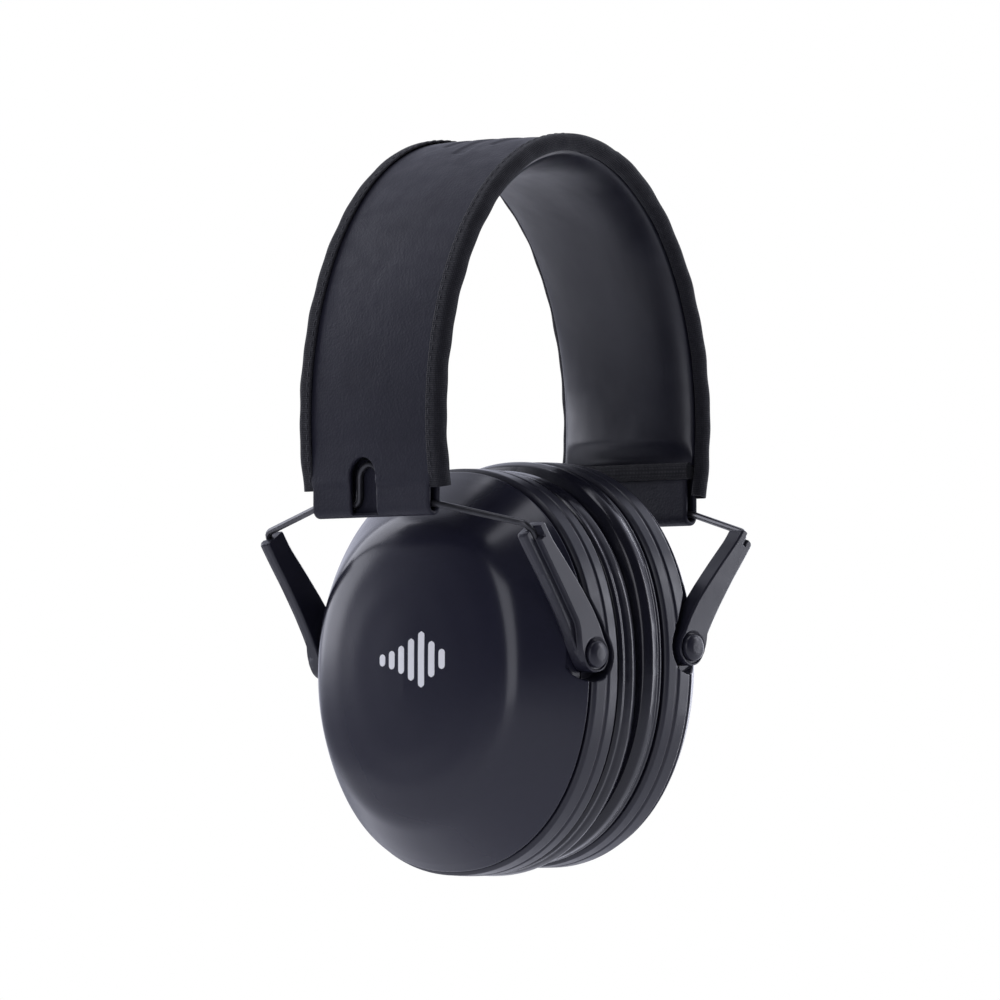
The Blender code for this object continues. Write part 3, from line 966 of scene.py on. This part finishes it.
    def hem(self, side: Side) -> bpy.types.Object:
        """A folded tape across the lining's lower end: a rounded bar carried across Y.

        Args:
            side: which side of the headband.

        Returns:
            The hem.
        """
        turn = np.linspace(0, 2 * np.pi, 24, endpoint=False)
        half = 21.2 * MM
        across = np.linspace(-half, half, 60)
        tall, deep = 2.1 * MM, 1.35 * MM
        profile_z = -74.2 * MM + tall * np.sign(np.sin(turn)) * abs(np.sin(turn)) ** 0.6
        profile_x = 45.1 * MM + deep * np.sign(np.cos(turn)) * abs(np.cos(turn)) ** 0.7
        bow = 0.5 * MM * (1 - (across / across[-1]) ** 2)
        x = side.value * (profile_x[None, :] - bow[:, None])
        grid = np.stack(np.broadcast_arrays(x, across[:, None], profile_z[None, :]), axis=-1)
        along = np.broadcast_to(across[:, None], grid.shape[:2])
        ring = np.broadcast_to(np.linspace(0, 9.0 * MM, len(turn)), grid.shape[:2])
        piece = tube_grid(side.word + "_pad_hem", grid, TAPE, np.stack([along, ring], axis=-1))
        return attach(piece, side.word + "_leg")

    def spring(self, side: Side) -> bpy.types.Object:
        """The steel strip between the cover and the pad, with rounded edges.

        Args:
            side: which side of the headband.

        Returns:
            The strip.
        """
        angles = self.band_line(-67.0 * MM)
        half, depth = 14.6 * MM, -2.5 * MM
        across = np.linspace(-half, half, 24)
        line = np.stack([across, np.full_like(across, depth)], axis=1)
        grid, uv = self.sweep(side, angles, thickened(line, 0.38 * MM))
        piece = tube_grid(side.word + "_spring_strip", grid, STEEL, uv)
        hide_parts(side.word + "_band_spring")
        if side is Side.LEFT:
            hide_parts("crown_band_spring")
        return self.bend(piece, side)

    def build(self) -> None:
        """Make every layer of both legs."""
        for side in Side:
            self.cover(side)
            self.pad(side)
            self.hem(side)
            self.spring(side)
            for edge in Edge:
                self.binding(side, edge)
                self.stitches(side, edge)


# Bails, arms and pins ------------------------------------------------------------------------------


@dataclass
class Suspension:
    """One side's bent wire, its two arms and their pins."""

    side: Side
    wire_radius: float = 0.85 * MM
    bend_x: float = 39.9 * MM
    arm_inner: float = 42.2 * MM
    arm_outer: float = 47.0 * MM
    boss: float = 4.5 * MM
    outer_edge: tuple = ((5.0, 4.1), (10.0, 3.5), (16.0, 3.1), (24.0, 3.0), (32.0, 3.2))
    inner_edge: tuple = ((5.0, 5.4), (10.0, 5.6), (16.0, 5.2), (24.0, 4.3), (32.0, 3.2))
    pivot_x: float = 17.7 * MM

    def __post_init__(self) -> None:
        """Work out the pivot, the wire's bend and the arm's direction, in X and Z."""
        low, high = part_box(self.side.word + "_pivot_pin_front")
        self.pivot = np.array([self.side.value * self.pivot_x, (low.z + high.z) / 2])
        self.bend = np.array([self.side.value * self.bend_x, HOOK_BOTTOM - 2.6 * MM])
        self.down = (self.pivot - self.bend) / np.linalg.norm(self.pivot - self.bend)
        self.inward = -self.side.value * np.array([-self.down[1], self.down[0]])

    @property
    def cup_z(self) -> float:
        """Height of the cup's centre.

        Returns:
            The height.
        """
        return float(self.pivot[1] - 3.5 * MM)

    def wire_route(self) -> np.ndarray:
        """The wire's centre line: arm, bend, hook, crank, hook, bend, arm, its corners eased by parabolas.

        Returns:
            The line's points.
        """
        x, z = self.side.value * HOOK_X, HOOK_BOTTOM + 3.0 * MM
        arm_y, middle, crank = (self.arm_inner + self.arm_outer) / 2, SLOT_Y, 3.35 * MM
        arch_z = HOOK_BOTTOM + 9.85 * MM
        end = self.bend + self.down * 25.0 * MM
        out = 19.8 * MM
        turn = np.linspace(np.pi, 0, 25)
        arch_y, arch_top = middle + crank * np.cos(turn), arch_z + crank * np.sin(turn)
        arch = np.stack([np.full_like(turn, x), arch_y, arch_top], axis=1)
        front = [(end[0], -arm_y, end[1]), (self.bend[0], -arm_y, self.bend[1]), (x, -out, z),
                 (x, middle - crank, z), (x, middle - crank, arch_z)]
        rear = [(x, middle + crank, arch_z), (x, middle + crank, z), (x, out, z),
                (self.bend[0], arm_y, self.bend[1]), (end[0], arm_y, end[1])]
        return np.concatenate([self.eased_path(front), arch[1:-1], self.eased_path(rear)])

    @staticmethod
    def eased_path(points: list[tuple]) -> np.ndarray:
        """A path through points whose inner corners are short parabolas.

        Args:
            points: the path's corners.

        Returns:
            The path's points.
        """
        path = [np.array(points[:1], float)]
        share = np.linspace(0, 1, 9)[:, None]
        for before, corner, after in zip(points, points[1:], points[2:]):
            corner = np.array(corner)
            back, ahead = np.array(before) - corner, np.array(after) - corner
            reach = min(2.4 * MM, 0.45 * np.linalg.norm(back), 0.45 * np.linalg.norm(ahead))
            start = corner + back / np.linalg.norm(back) * reach
            end = corner + ahead / np.linalg.norm(ahead) * reach
            path.append(start * (1 - share) ** 2 + corner * 2 * share * (1 - share) + end * share ** 2)
        path.append(np.array(points[-1:], float))
        return np.concatenate(path)

    def wire(self) -> bpy.types.Object:
        """The bail: a circle carried along the route, kept from twisting by a running side vector.

        Returns:
            The wire.
        """
        path = self.wire_route()
        tangent = np.gradient(path, axis=0)
        tangent /= np.linalg.norm(tangent, axis=1)[:, None]
        running, sides = np.cross(tangent[0], (0.3, 0.2, 1.0)), []
        for ahead in tangent:
            running = running - ahead * (running @ ahead)
            running /= np.linalg.norm(running)
            sides.append(running)
        sides = np.array(sides)
        other = np.cross(tangent, sides)
        turn = np.linspace(0, 2 * np.pi, 20, endpoint=False)
        ring = np.cos(turn)[None, :, None] * sides[:, None] + np.sin(turn)[None, :, None] * other[:, None]
        grid = path[:, None] + self.wire_radius * ring
        piece = tube_grid(self.side.word + "_bail", grid, WIRE)
        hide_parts(self.side.word + "_bail_wire")
        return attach(piece, self.side.word + "_bail")

    def arm(self, edge: Edge) -> bpy.types.Object:
        """One moulded arm: a bar with a raised spine, a lower flange outside it, and a notch for the wire.

        Points run up the arm by u and across it by v from the outer edge to the inner one, with columns that
        follow the step between flange and spine. The front face is a raised level past the step, with a
        lowered seat round the pin, a notch at the top, and eased borders.

        Args:
            edge: front or rear.

        Returns:
            The arm.
        """
        top = float(np.linalg.norm(self.bend - self.pivot)) - 1.3 * MM
        share = (1 - np.cos(np.linspace(0, np.pi, 170))) / 2
        u = -self.boss + share * (top + self.boss)
        low, high = (self.edge_line(u, top, points) for points in (self.outer_edge, self.inner_edge))
        step = 0.05 * MM - low + 0.74 * low * smoothstep(2.0 * MM, 11.0 * MM, u)
        knots = np.stack([-low, step, step + 0.5 * MM, np.maximum(high, step + 0.55 * MM)], axis=1)
        on_flange, on_step = np.linspace(0, 1, 15)[:-1], np.linspace(1, 2, 9)[:-1]
        on_spine = 2 + (1 - np.cos(np.linspace(0, np.pi, 34))) / 2
        q = np.concatenate([on_flange, on_step, on_spine])
        left = np.minimum(q.astype(int), 2)
        v = knots[:, left] + (knots[:, left + 1] - knots[:, left]) * (q - left)
        from_pin = np.hypot(u[:, None], v)
        from_border = np.minimum(v + low[:, None], high[:, None] - v)
        spine = smoothstep(0.0, 0.5 * MM, v - step[:, None])
        flange = smoothstep(5.6 * MM, 4.4 * MM, from_pin)
        level = -1.6 * MM * (1 - np.maximum(spine, flange))
        level -= 0.45 * MM * smoothstep(4.1 * MM, 3.8 * MM, from_pin)
        level -= 0.30 * MM * smoothstep(0.55 * MM, 0.0, from_border) ** 2
        near_top = smoothstep(top - 3.2 * MM, top - 2.4 * MM, u)[:, None]
        notch = smoothstep(1.35 * MM, 1.0 * MM, abs(v)) * near_top
        level = level * (1 - notch) - 2.2 * MM * notch
        outer_y = self.arm_outer + level
        inner_y = self.arm_inner + 0.3 * MM * smoothstep(0.5 * MM, 0.0, from_border[:, ::-1]) ** 2
        wall = np.array([0.66, 0.33])
        left_y = self.arm_inner + (outer_y[:, -1:] - self.arm_inner) * wall
        right_y = self.arm_inner + (outer_y[:, :1] - self.arm_inner) * wall[::-1]
        ones = np.ones((1, 2))
        across = np.concatenate([v, high[:, None] * ones, v[:, ::-1], -low[:, None] * ones], axis=1)
        y = np.concatenate([outer_y, left_y, inner_y, right_y], axis=1) * edge.value
        place = self.pivot - self.down * u[:, None, None] + self.inward * across[..., None]
        grid = np.stack([place[..., 0], y, place[..., 1]], axis=-1)
        piece = tube_grid(f"{self.side.word}_moulded_arm_{edge.word}", grid, MOULDED, sharp=55.0)
        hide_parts(f"{self.side.word}_arm_{edge.word}")
        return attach(piece, self.side.word + "_yoke")

    def edge_line(self, u: np.ndarray, top: float, points: tuple) -> np.ndarray:
        """How far one edge of the arm stands from the line through its pin.

        It is a circle below the pin, then a smooth line through points, and a rounded corner at the top.

        Args:
            u: distances up the arm.
            top: where the arm ends.
            points: (distance up, distance across) in millimetres.

        Returns:
            The distances across, in metres.
        """
        longest, reach = 60.0, 60
        known = np.array([(0.0, self.boss / MM), *points, (longest, points[-1][1])]) * MM
        places = np.linspace(0, longest * MM, 1201)
        line = np.interp(places, known[:, 0], known[:, 1])
        padded = np.concatenate([line[reach:0:-1], line, np.full(reach, line[-1])])
        weight = 1 + np.cos(np.linspace(-np.pi, np.pi, 2 * reach + 1))
        line = np.convolve(padded, weight / weight.sum(), "valid")
        width = np.interp(u, places, line)
        round_end = line[0] * np.sqrt(np.clip(1 - (u / self.boss) ** 2, 0.00002, 1))
        width = np.where(u < 0, round_end, width)
        corner = 0.7 * MM
        into = np.clip((u - (top - corner)) / corner, 0, 1)
        return width - corner * (1 - np.sqrt(1 - into ** 2 * 0.98))

    def pin(self, edge: Edge) -> bpy.types.Object:
        """The pin and its domed button, a profile turned about Y.

        Args:
            edge: front or rear.

        Returns:
            The pin.
        """
        dome = [(0.02, 48.6), (1.6, 48.55), (2.7, 48.2), (3.25, 47.75), (3.4, 47.2), (3.4, 46.6)]
        stem = [(2.2, 46.5), (2.2, 40.3), (0.02, 40.3)]
        profile = eased(dome + stem, 0.18, 0.30) * MM
        turn = np.linspace(0, 2 * np.pi, 48, endpoint=False)
        x = self.pivot[0] + profile[:, :1] * np.cos(turn)
        z = self.pivot[1] + profile[:, :1] * np.sin(turn)
        y = np.broadcast_to(profile[:, 1:] * edge.value, x.shape)
        piece = tube_grid(f"{self.side.word}_button_{edge.word}", np.stack([x, y, z], axis=-1), MOULDED)
        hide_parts(f"{self.side.word}_pivot_pin_{edge.word}")
        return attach(piece, self.side.word + "_yoke")

    def pocket_depth(self, x: np.ndarray, z: np.ndarray) -> np.ndarray:
        """How far a point of the cup is inside the arm's pocket, from 0 outside to 1 on its floor.

        The pocket's outline is two circles of 6.4 and 9 mm, 17 mm apart up the arm, and their tangents. The
        edge is a smooth step across that outline.

        Args:
            x: the points' X.
            z: the points' Z.

        Returns:
            The depths.
        """
        apart, low, high = 17.0 * MM, 6.4 * MM, 9.0 * MM
        off = np.stack([x - self.pivot[0], z - self.pivot[1]], axis=-1)
        u = -(off @ self.down)
        v = abs(off @ self.inward)
        slope = (high - low) / apart
        cosine = math.sqrt(1 - slope ** 2)
        foot = np.clip((u + v * slope / cosine) / apart, 0, 1)
        distance = np.hypot(u - foot * apart, v) - (low + (high - low) * foot)
        return smoothstep(0.45 * MM, -0.35 * MM, distance)

    def build(self) -> None:
        """Make the wire, and the arms and pins at both ends of it."""
        self.wire()
        for edge in Edge:
            self.arm(edge)
            self.pin(edge)


# Cups ----------------------------------------------------------------------------------------------


@dataclass
class Cup:
    """One cup. Its outline is a rounded superellipse, and a section gives distance and inset from the rim."""

    hung: Suspension
    half_y: float = 46.5 * MM
    half_z: float = 50.8 * MM
    power: float = 2.15
    points: int = 640
    pocket_floor: float = 41.9 * MM
    cushion_back: float = 8.2 * MM
    bar_pitch: float = 3.3 * MM
    bar_half: float = 1.0 * MM
    print_shift: float = 2.6 * MM
    print_rise: float = 2.6 * MM
    print_skins: tuple = (0.06 * MM, -0.03 * MM)

    @property
    def side(self) -> Side:
        """The cup's side.

        Returns:
            The side.
        """
        return self.hung.side

    def turns(self) -> np.ndarray:
        """Angles round the outline, closer together at the front and rear, where the pockets are.

        Returns:
            The angles in radians.
        """
        even = np.linspace(0, 2 * np.pi, self.points, endpoint=False)
        return even - 0.34 * np.sin(2 * even)

    def rings(self, section: np.ndarray) -> np.ndarray:
        """Carry a section round the outline.

        Args:
            section: points of (distance from the middle plane, inset from the rim), in metres.

        Returns:
            A grid of section points by angles by three coordinates. y is half_y times cos, z is half_z times
            sin, each raised to 2 / power with its sign kept.
        """
        turn = self.turns()
        c, s = np.cos(turn), np.sin(turn)
        y = np.sign(c) * abs(c) ** (2 / self.power)
        z = np.sign(s) * abs(s) ** (2 / self.power)
        x = np.broadcast_to(self.side.value * section[:, :1], (len(section), self.points))
        y = (self.half_y - section[:, 1:]) * y
        z = self.hung.cup_z + (self.half_z - section[:, 1:]) * z
        return np.stack([x, y, z], axis=-1)

    def pocketed(self, grid: np.ndarray) -> np.ndarray:
        """Press the pockets into a grid: each point's |y| comes down to the pocket's floor inside it.

        Args:
            grid: points of a cup piece.

        Returns:
            The pressed points.
        """
        floor = self.pocket_floor
        depth = self.hung.pocket_depth(grid[..., 0], grid[..., 2])
        y = abs(grid[..., 1])
        pressed = np.where(y > floor, y + (floor - y) * depth, y)
        out = grid.copy()
        out[..., 1] = np.sign(grid[..., 1]) * pressed
        return out

    def solid(
        self, name: str, section: np.ndarray, look: Finish, loop: bool = False, pocket: bool = False
    ) -> bpy.types.Object:
        """A solid from a section, with or without the arms' pockets.

        Args:
            name: the piece's name.
            section: points of (distance, inset).
            look: its finish.
            loop: the section closes on itself, as a ring's does.
            pocket: press the arms' pockets into it.

        Returns:
            The piece.
        """
        grid = self.rings(section)
        if pocket:
            grid = self.pocketed(grid)
        piece = tube_grid(name, grid, look, loop=loop, sharp=60.0)
        return piece

    @staticmethod
    def dome() -> np.ndarray:
        """The shell's face in section, from its centre over a soft shoulder.

        Returns:
            Points of (distance, inset).
        """
        face = [(37.5, 46.3), (37.3, 40.0), (36.6, 30.0), (35.4, 21.0)]
        shoulder = [(33.9, 15.0), (32.3, 12.3), (28.7, 9.1), (24.3, 5.2), (21.4, 2.8)]
        return eased(face + shoulder, 0.30, 4.0) * MM

    def shell(self) -> bpy.types.Object:
        """The outer shell, with its inner wall.

        Returns:
            The shell.
        """
        rim = eased([(21.4, 2.8), (18.95, 0.9), (18.25, 1.3), (18.25, 7.2)], 0.20, 0.45) * MM
        lining = [(24.0, 8.4), (30.6, 16.0), (33.0, 21.0), (34.4, 30.0), (35.1, 40.0), (35.2, 46.3)]
        section = np.concatenate([self.dome(), rim[1:], np.array(lining) * MM])
        piece = self.solid(self.side.word + "_shell", section, SHELL, pocket=True)
        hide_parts(self.side.word + "_cup_shell")
        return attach(piece, self.side.word + "_cup")

    def frame_ring(self) -> bpy.types.Object:
        """The rim ring, with a groove along its middle and eased edges.

        Returns:
            The ring.
        """
        near_lip = [(10.3, 3.5), (8.7, 3.5), (8.7, 0.9), (9.4, 0.1), (12.4, 0.0)]
        groove = [(12.7, 0.35), (13.1, 0.35), (13.4, 0.0)]
        far_lip = [(17.1, 0.1), (17.85, 0.9), (17.85, 8.0), (10.4, 8.0)]
        section = eased(near_lip + groove + far_lip, 0.22, 0.28) * MM
        piece = self.solid(self.side.word + "_rim_ring", section, MOULDED, loop=True, pocket=True)
        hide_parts(self.side.word + "_cup_frame")
        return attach(piece, self.side.word + "_cup")

    def cushion(self) -> bpy.types.Object:
        """The ring cushion: a soft round section with a welded seam, its skin drawn into faint puckers.

        The section is a rounded loop. Puckers are sines round the ring that fade away from the seam.

        Returns:
            The cushion.
        """
        outside = [(8.25, 8.0), (8.25, 2.4), (7.9, 1.0), (6.9, 0.35), (6.1, 0.75), (5.4, 0.35), (3.4, 0.1)]
        face = [(1.5, 1.1), (0.45, 3.6), (0.2, 7.0), (0.5, 10.8), (1.6, 13.6)]
        inside = [(4.0, 14.9), (6.6, 14.6), (8.25, 13.2), (8.25, 8.2)]
        section = eased(outside + face + inside, 0.30, 0.75) * MM
        grid = self.rings(section)
        turn = self.turns()
        centre_line = self.rings(np.array([[5.0, 7.5]]) * MM)[0]
        away = grid - centre_line[None]
        wave = 0.5 * np.sin(61 * turn + 1.3) + 0.3 * np.sin(97 * turn) + 0.4 * np.sin(17 * turn + 0.4)
        near_seam = np.exp(-((section[:, 0] - 5.6 * MM) / (1.5 * MM)) ** 2)[:, None]
        size = 1 + (0.004 * wave[None, :] * near_seam + 0.004 * np.sin(9 * turn + 2.0)[None, :])
        grid = centre_line[None] + away * size[..., None]
        clear = 0.12 * MM
        flat = abs(grid[..., 0]) < clear
        grid[..., 0] = np.where(flat, self.side.value * clear, grid[..., 0])
        piece = tube_grid(self.side.word + "_cushion", grid, CUSHION, loop=True, sharp=70.0)
        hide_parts(self.side.word + "_ear_cushion")
        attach(piece, self.side.word + "_cup")
        anchor = (self.side.value * self.cushion_back, 0, 0)
        self.side.word + "_bail_swing"
        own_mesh(piece)
        return piece

    def foam(self) -> bpy.types.Object:
        """The foam liner: a soft block whose face pillows towards the ear.

        Returns:
            The liner.
        """
        face = [(15.4, 46.2), (15.6, 30.0), (16.1, 16.0), (17.2, 11.4), (19.0, 10.6)]
        back = [(24.0, 10.8), (29.0, 17.5), (31.5, 30.0), (31.8, 46.2)]
        section = eased(face + back, 0.8, 1.6) * MM
        piece = self.solid(self.side.word + "_foam", section, FOAM)
        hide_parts(self.side.word + "_acoustic_foam")
        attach(piece, self.side.word + "_cup")
        return piece

    def face_distance(self, y: np.ndarray, z: np.ndarray) -> np.ndarray:
        """The shell's distance from the middle plane at points of its face.

        The inset of each point is found by halving, so that the outline at that inset passes through it.

        Args:
            y: the points' Y.
            z: the points' Z.

        Returns:
            The distances.
        """
        low, high = np.zeros_like(y), np.full_like(y, 46.0 * MM)
        for _ in range(40):
            inset = (low + high) / 2
            inside = (
                abs(y / (self.half_y - inset)) ** self.power
                + abs((z - self.hung.cup_z) / (self.half_z - inset)) ** self.power
            ) < 1
            low, high = np.where(inside, inset, low), np.where(inside, high, inset)
        dome = self.dome()[::-1]
        return np.interp((low + high) / 2, dome[:, 1], dome[:, 0])

    def bar(self, middle: float, tall: float) -> tuple[np.ndarray, np.ndarray]:
        """One printed bar with round ends, laid on the shell's face.

        Its half width is the bar's own times the root of (1 - share ** 2), where share is how far a point is
        into an end's round.

        Args:
            middle: the bar's Y.
            tall: its height.

        Returns:
            The points of its front and back, and its faces' corner numbers.
        """
        rows, columns, half, reach = 28, 9, self.bar_half, tall / 2
        up, across = np.linspace(-1, 1, rows)[:, None], np.linspace(-1, 1, columns)[None, :]
        into_end = np.clip((abs(up) * reach - (reach - half)) / half, 0, 1)
        y = middle + across * half * np.sqrt(np.clip(1 - into_end ** 2, 0.0004, 1))
        z = self.hung.cup_z + self.print_rise + up * reach + 0 * across
        x = self.face_distance(y, z)
        skins = [np.stack([self.side.value * (x + proud), y, z], axis=-1) for proud in self.print_skins]
        top, under = quads(rows, columns, False, False), rows * columns
        rim = np.concatenate([
            np.arange(columns), np.arange(1, rows) * columns + columns - 1,
            (rows - 1) * columns + np.arange(columns - 2, -1, -1), np.arange(rows - 2, 0, -1) * columns
        ])
        after = np.roll(rim, -1)
        wall = np.stack([rim, rim + under, after + under, after], axis=1)
        return np.concatenate(skins).reshape(-1, 3), np.concatenate([top, top[:, ::-1] + under, wall])

    def sound_sign(self) -> bpy.types.Object:
        """A generic printed sign of sound fading: a row of round-ended bars laid on the shell's face.

        Returns:
            The print, as one piece.
        """
        heights = np.array([5.0, 9.0, 14.0, 10.5, 7.0, 4.6, 3.0]) * MM
        points, faces, count = [], [], 0
        for k, tall in enumerate(heights):
            bar_points, bar_faces = self.bar((k - 3) * self.bar_pitch - self.print_shift, tall)
            points.append(bar_points)
            faces.append(bar_faces + count)
            count += len(bar_points)
        name = self.side.word + "_sound_sign"
        piece = make_piece(name, np.concatenate(points), np.concatenate(faces).tolist(), PRINT)
        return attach(piece, self.side.word + "_cup")

    def build(self) -> None:
        """Make the cup's pieces and dress the plate that stays from the CAD."""
        self.shell()
        self.frame_ring()
        self.cushion()
        self.foam()
        self.sound_sign()
        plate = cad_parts[self.side.word + "_cushion_plate"]
        plate.data.materials.clear()
        plate.data.materials.append(MOULDED.material())


# Studio --------------------------------------------------------------------------------------------


@dataclass
class Studio:
    """A pale floor, soft lights and a long-lens camera.

    The camera stands at azimuth and elevation, in degrees, and looks at middle, moved by shift to the right
    and upwards. One metre of the object would fill frames_per_metre frames.
    """

    azimuth: float = -47.1
    elevation: float = -2.3
    distance: float = 4.0
    frames_per_metre: float = 4.0
    floor_z: float = -0.34
    middle: tuple = (0, 0, -0.088)
    shift: tuple = (-0.0015, 0.0057)
    lamp_aim: tuple = (0, 0, -0.09)
    lamp_tint: tuple = (0.90, 0.91, 1.0)
    glow_tint: tuple = (0.82, 0.84, 1.0, 1)

    def camera(self) -> None:
        """A camera on a long lens, whose length follows from how much of the frame the object fills."""
        a, e = math.radians(self.azimuth), math.radians(self.elevation)
        back = Vector((math.sin(a) * math.cos(e), -math.cos(a) * math.cos(e), math.sin(e)))
        right = Vector((math.cos(a), math.sin(a), 0))
        up = back.cross(right)
        data = bpy.data.cameras.new("camera")
        data.sensor_width = 36.0
        data.lens = self.frames_per_metre * self.distance * data.sensor_width
        data.clip_end = 50.0
        target = Vector(self.middle) + right * self.shift[0] + up * self.shift[1]
        camera = bpy.data.objects.new("camera", data)
        camera.location = target + back * self.distance
        camera.rotation_mode = "QUATERNION"
        camera.rotation_quaternion = (-back).to_track_quat("-Z", "Y")
        bpy.context.scene.collection.objects.link(camera)
        bpy.context.scene.camera = camera

    def floor(self) -> None:
        """A plain pale floor well below the object."""
        bpy.ops.mesh.primitive_plane_add(size=30.0, location=(0, 0, self.floor_z))
        floor = bpy.context.object
        floor.name = "studio_floor"
        sheet = NodeSheet("pale_floor")
        sheet.set(Base_Color=(0.86, 0.86, 0.87, 1), Roughness=0.8)
        floor.data.materials.append(sheet.made)

    def light(self, name: str, place: tuple, size: tuple, power: float) -> None:
        """A soft box that faces the object.

        Args:
            name: the lamp's name.
            place: its position.
            size: its width and height.
            power: its power in watts.
        """
        data = bpy.data.lights.new(name, "AREA")
        data.shape = "RECTANGLE"
        data.size, data.size_y = size
        data.energy = power
        data.color = self.lamp_tint
        lamp = bpy.data.objects.new(name, data)
        lamp.location = place
        lamp.visible_camera = False
        aim = Vector(self.lamp_aim) - Vector(place)
        lamp.rotation_mode = "QUATERNION"
        lamp.rotation_quaternion = aim.to_track_quat("-Z", "Y")
        bpy.context.scene.collection.objects.link(lamp)

    def world(self) -> None:
        """A white backdrop to the camera. The object sees it bright behind and dim in front.

        The glow's strength is a smooth step of how far each direction points away from the camera.
        """
        world = bpy.data.worlds.new("studio")
        bpy.context.scene.world = world
        world.use_nodes = True
        tree = world.node_tree
        glow = tree.nodes["Background"]
        glow.inputs["Color"].default_value = self.glow_tint
        way = tree.nodes.new("ShaderNodeTexCoord")
        along = tree.nodes.new("ShaderNodeVectorMath")
        along.operation = "DOT_PRODUCT"
        a = math.radians(self.azimuth)
        along.inputs[1].default_value = (-math.sin(a), math.cos(a), 0.0)
        share = tree.nodes.new("ShaderNodeMapRange")
        share.interpolation_type = "SMOOTHSTEP"
        for key, value in (("From Min", -0.45), ("From Max", 0.75), ("To Min", 0.06), ("To Max", 1.0)):
            share.inputs[key].default_value = value
        white = tree.nodes.new("ShaderNodeBackground")
        white.inputs["Color"].default_value = (1, 1, 1, 1)
        ray = tree.nodes.new("ShaderNodeLightPath")
        mix = tree.nodes.new("ShaderNodeMixShader")
        tree.links.new(way.outputs["Generated"], along.inputs[0])
        tree.links.new(along.outputs["Value"], share.inputs["Value"])
        tree.links.new(share.outputs["Result"], glow.inputs["Strength"])
        tree.links.new(ray.outputs["Is Camera Ray"], mix.inputs["Fac"])
        tree.links.new(glow.outputs[0], mix.inputs[1])
        tree.links.new(white.outputs[0], mix.inputs[2])
        tree.links.new(mix.outputs[0], tree.nodes["World Output"].inputs["Surface"])

    def build(self) -> None:
        """Set the camera, floor, world and lights."""
        bpy.context.scene.view_settings.view_transform = "Standard"
        self.camera()
        self.floor()
        self.world()
        self.light("key", (-0.25, 1.0, 0.30), (0.7, 0.8), 4.2)
        self.light("front", (-1.0, -0.35, 0.15), (0.5, 0.9), 2.6)
        self.light("top", (-0.1, 0.1, 0.95), (0.9, 0.5), 3.0)
        self.light("right", (0.85, -0.62, 0.05), (0.22, 1.0), 3.6)
        self.light("rear", (1.05, 0.25, 0.0), (0.5, 1.0), 5.0)


def main() -> None:
    """Build the studio and every sub-assembly."""
    logging.basicConfig(level=logging.INFO)
    Studio().build()
    Headband().build()
    for side in Side:
        hung = Suspension(side)
        hung.build()
        Cup(hung).build()


if __name__ == "__main__":
    main()
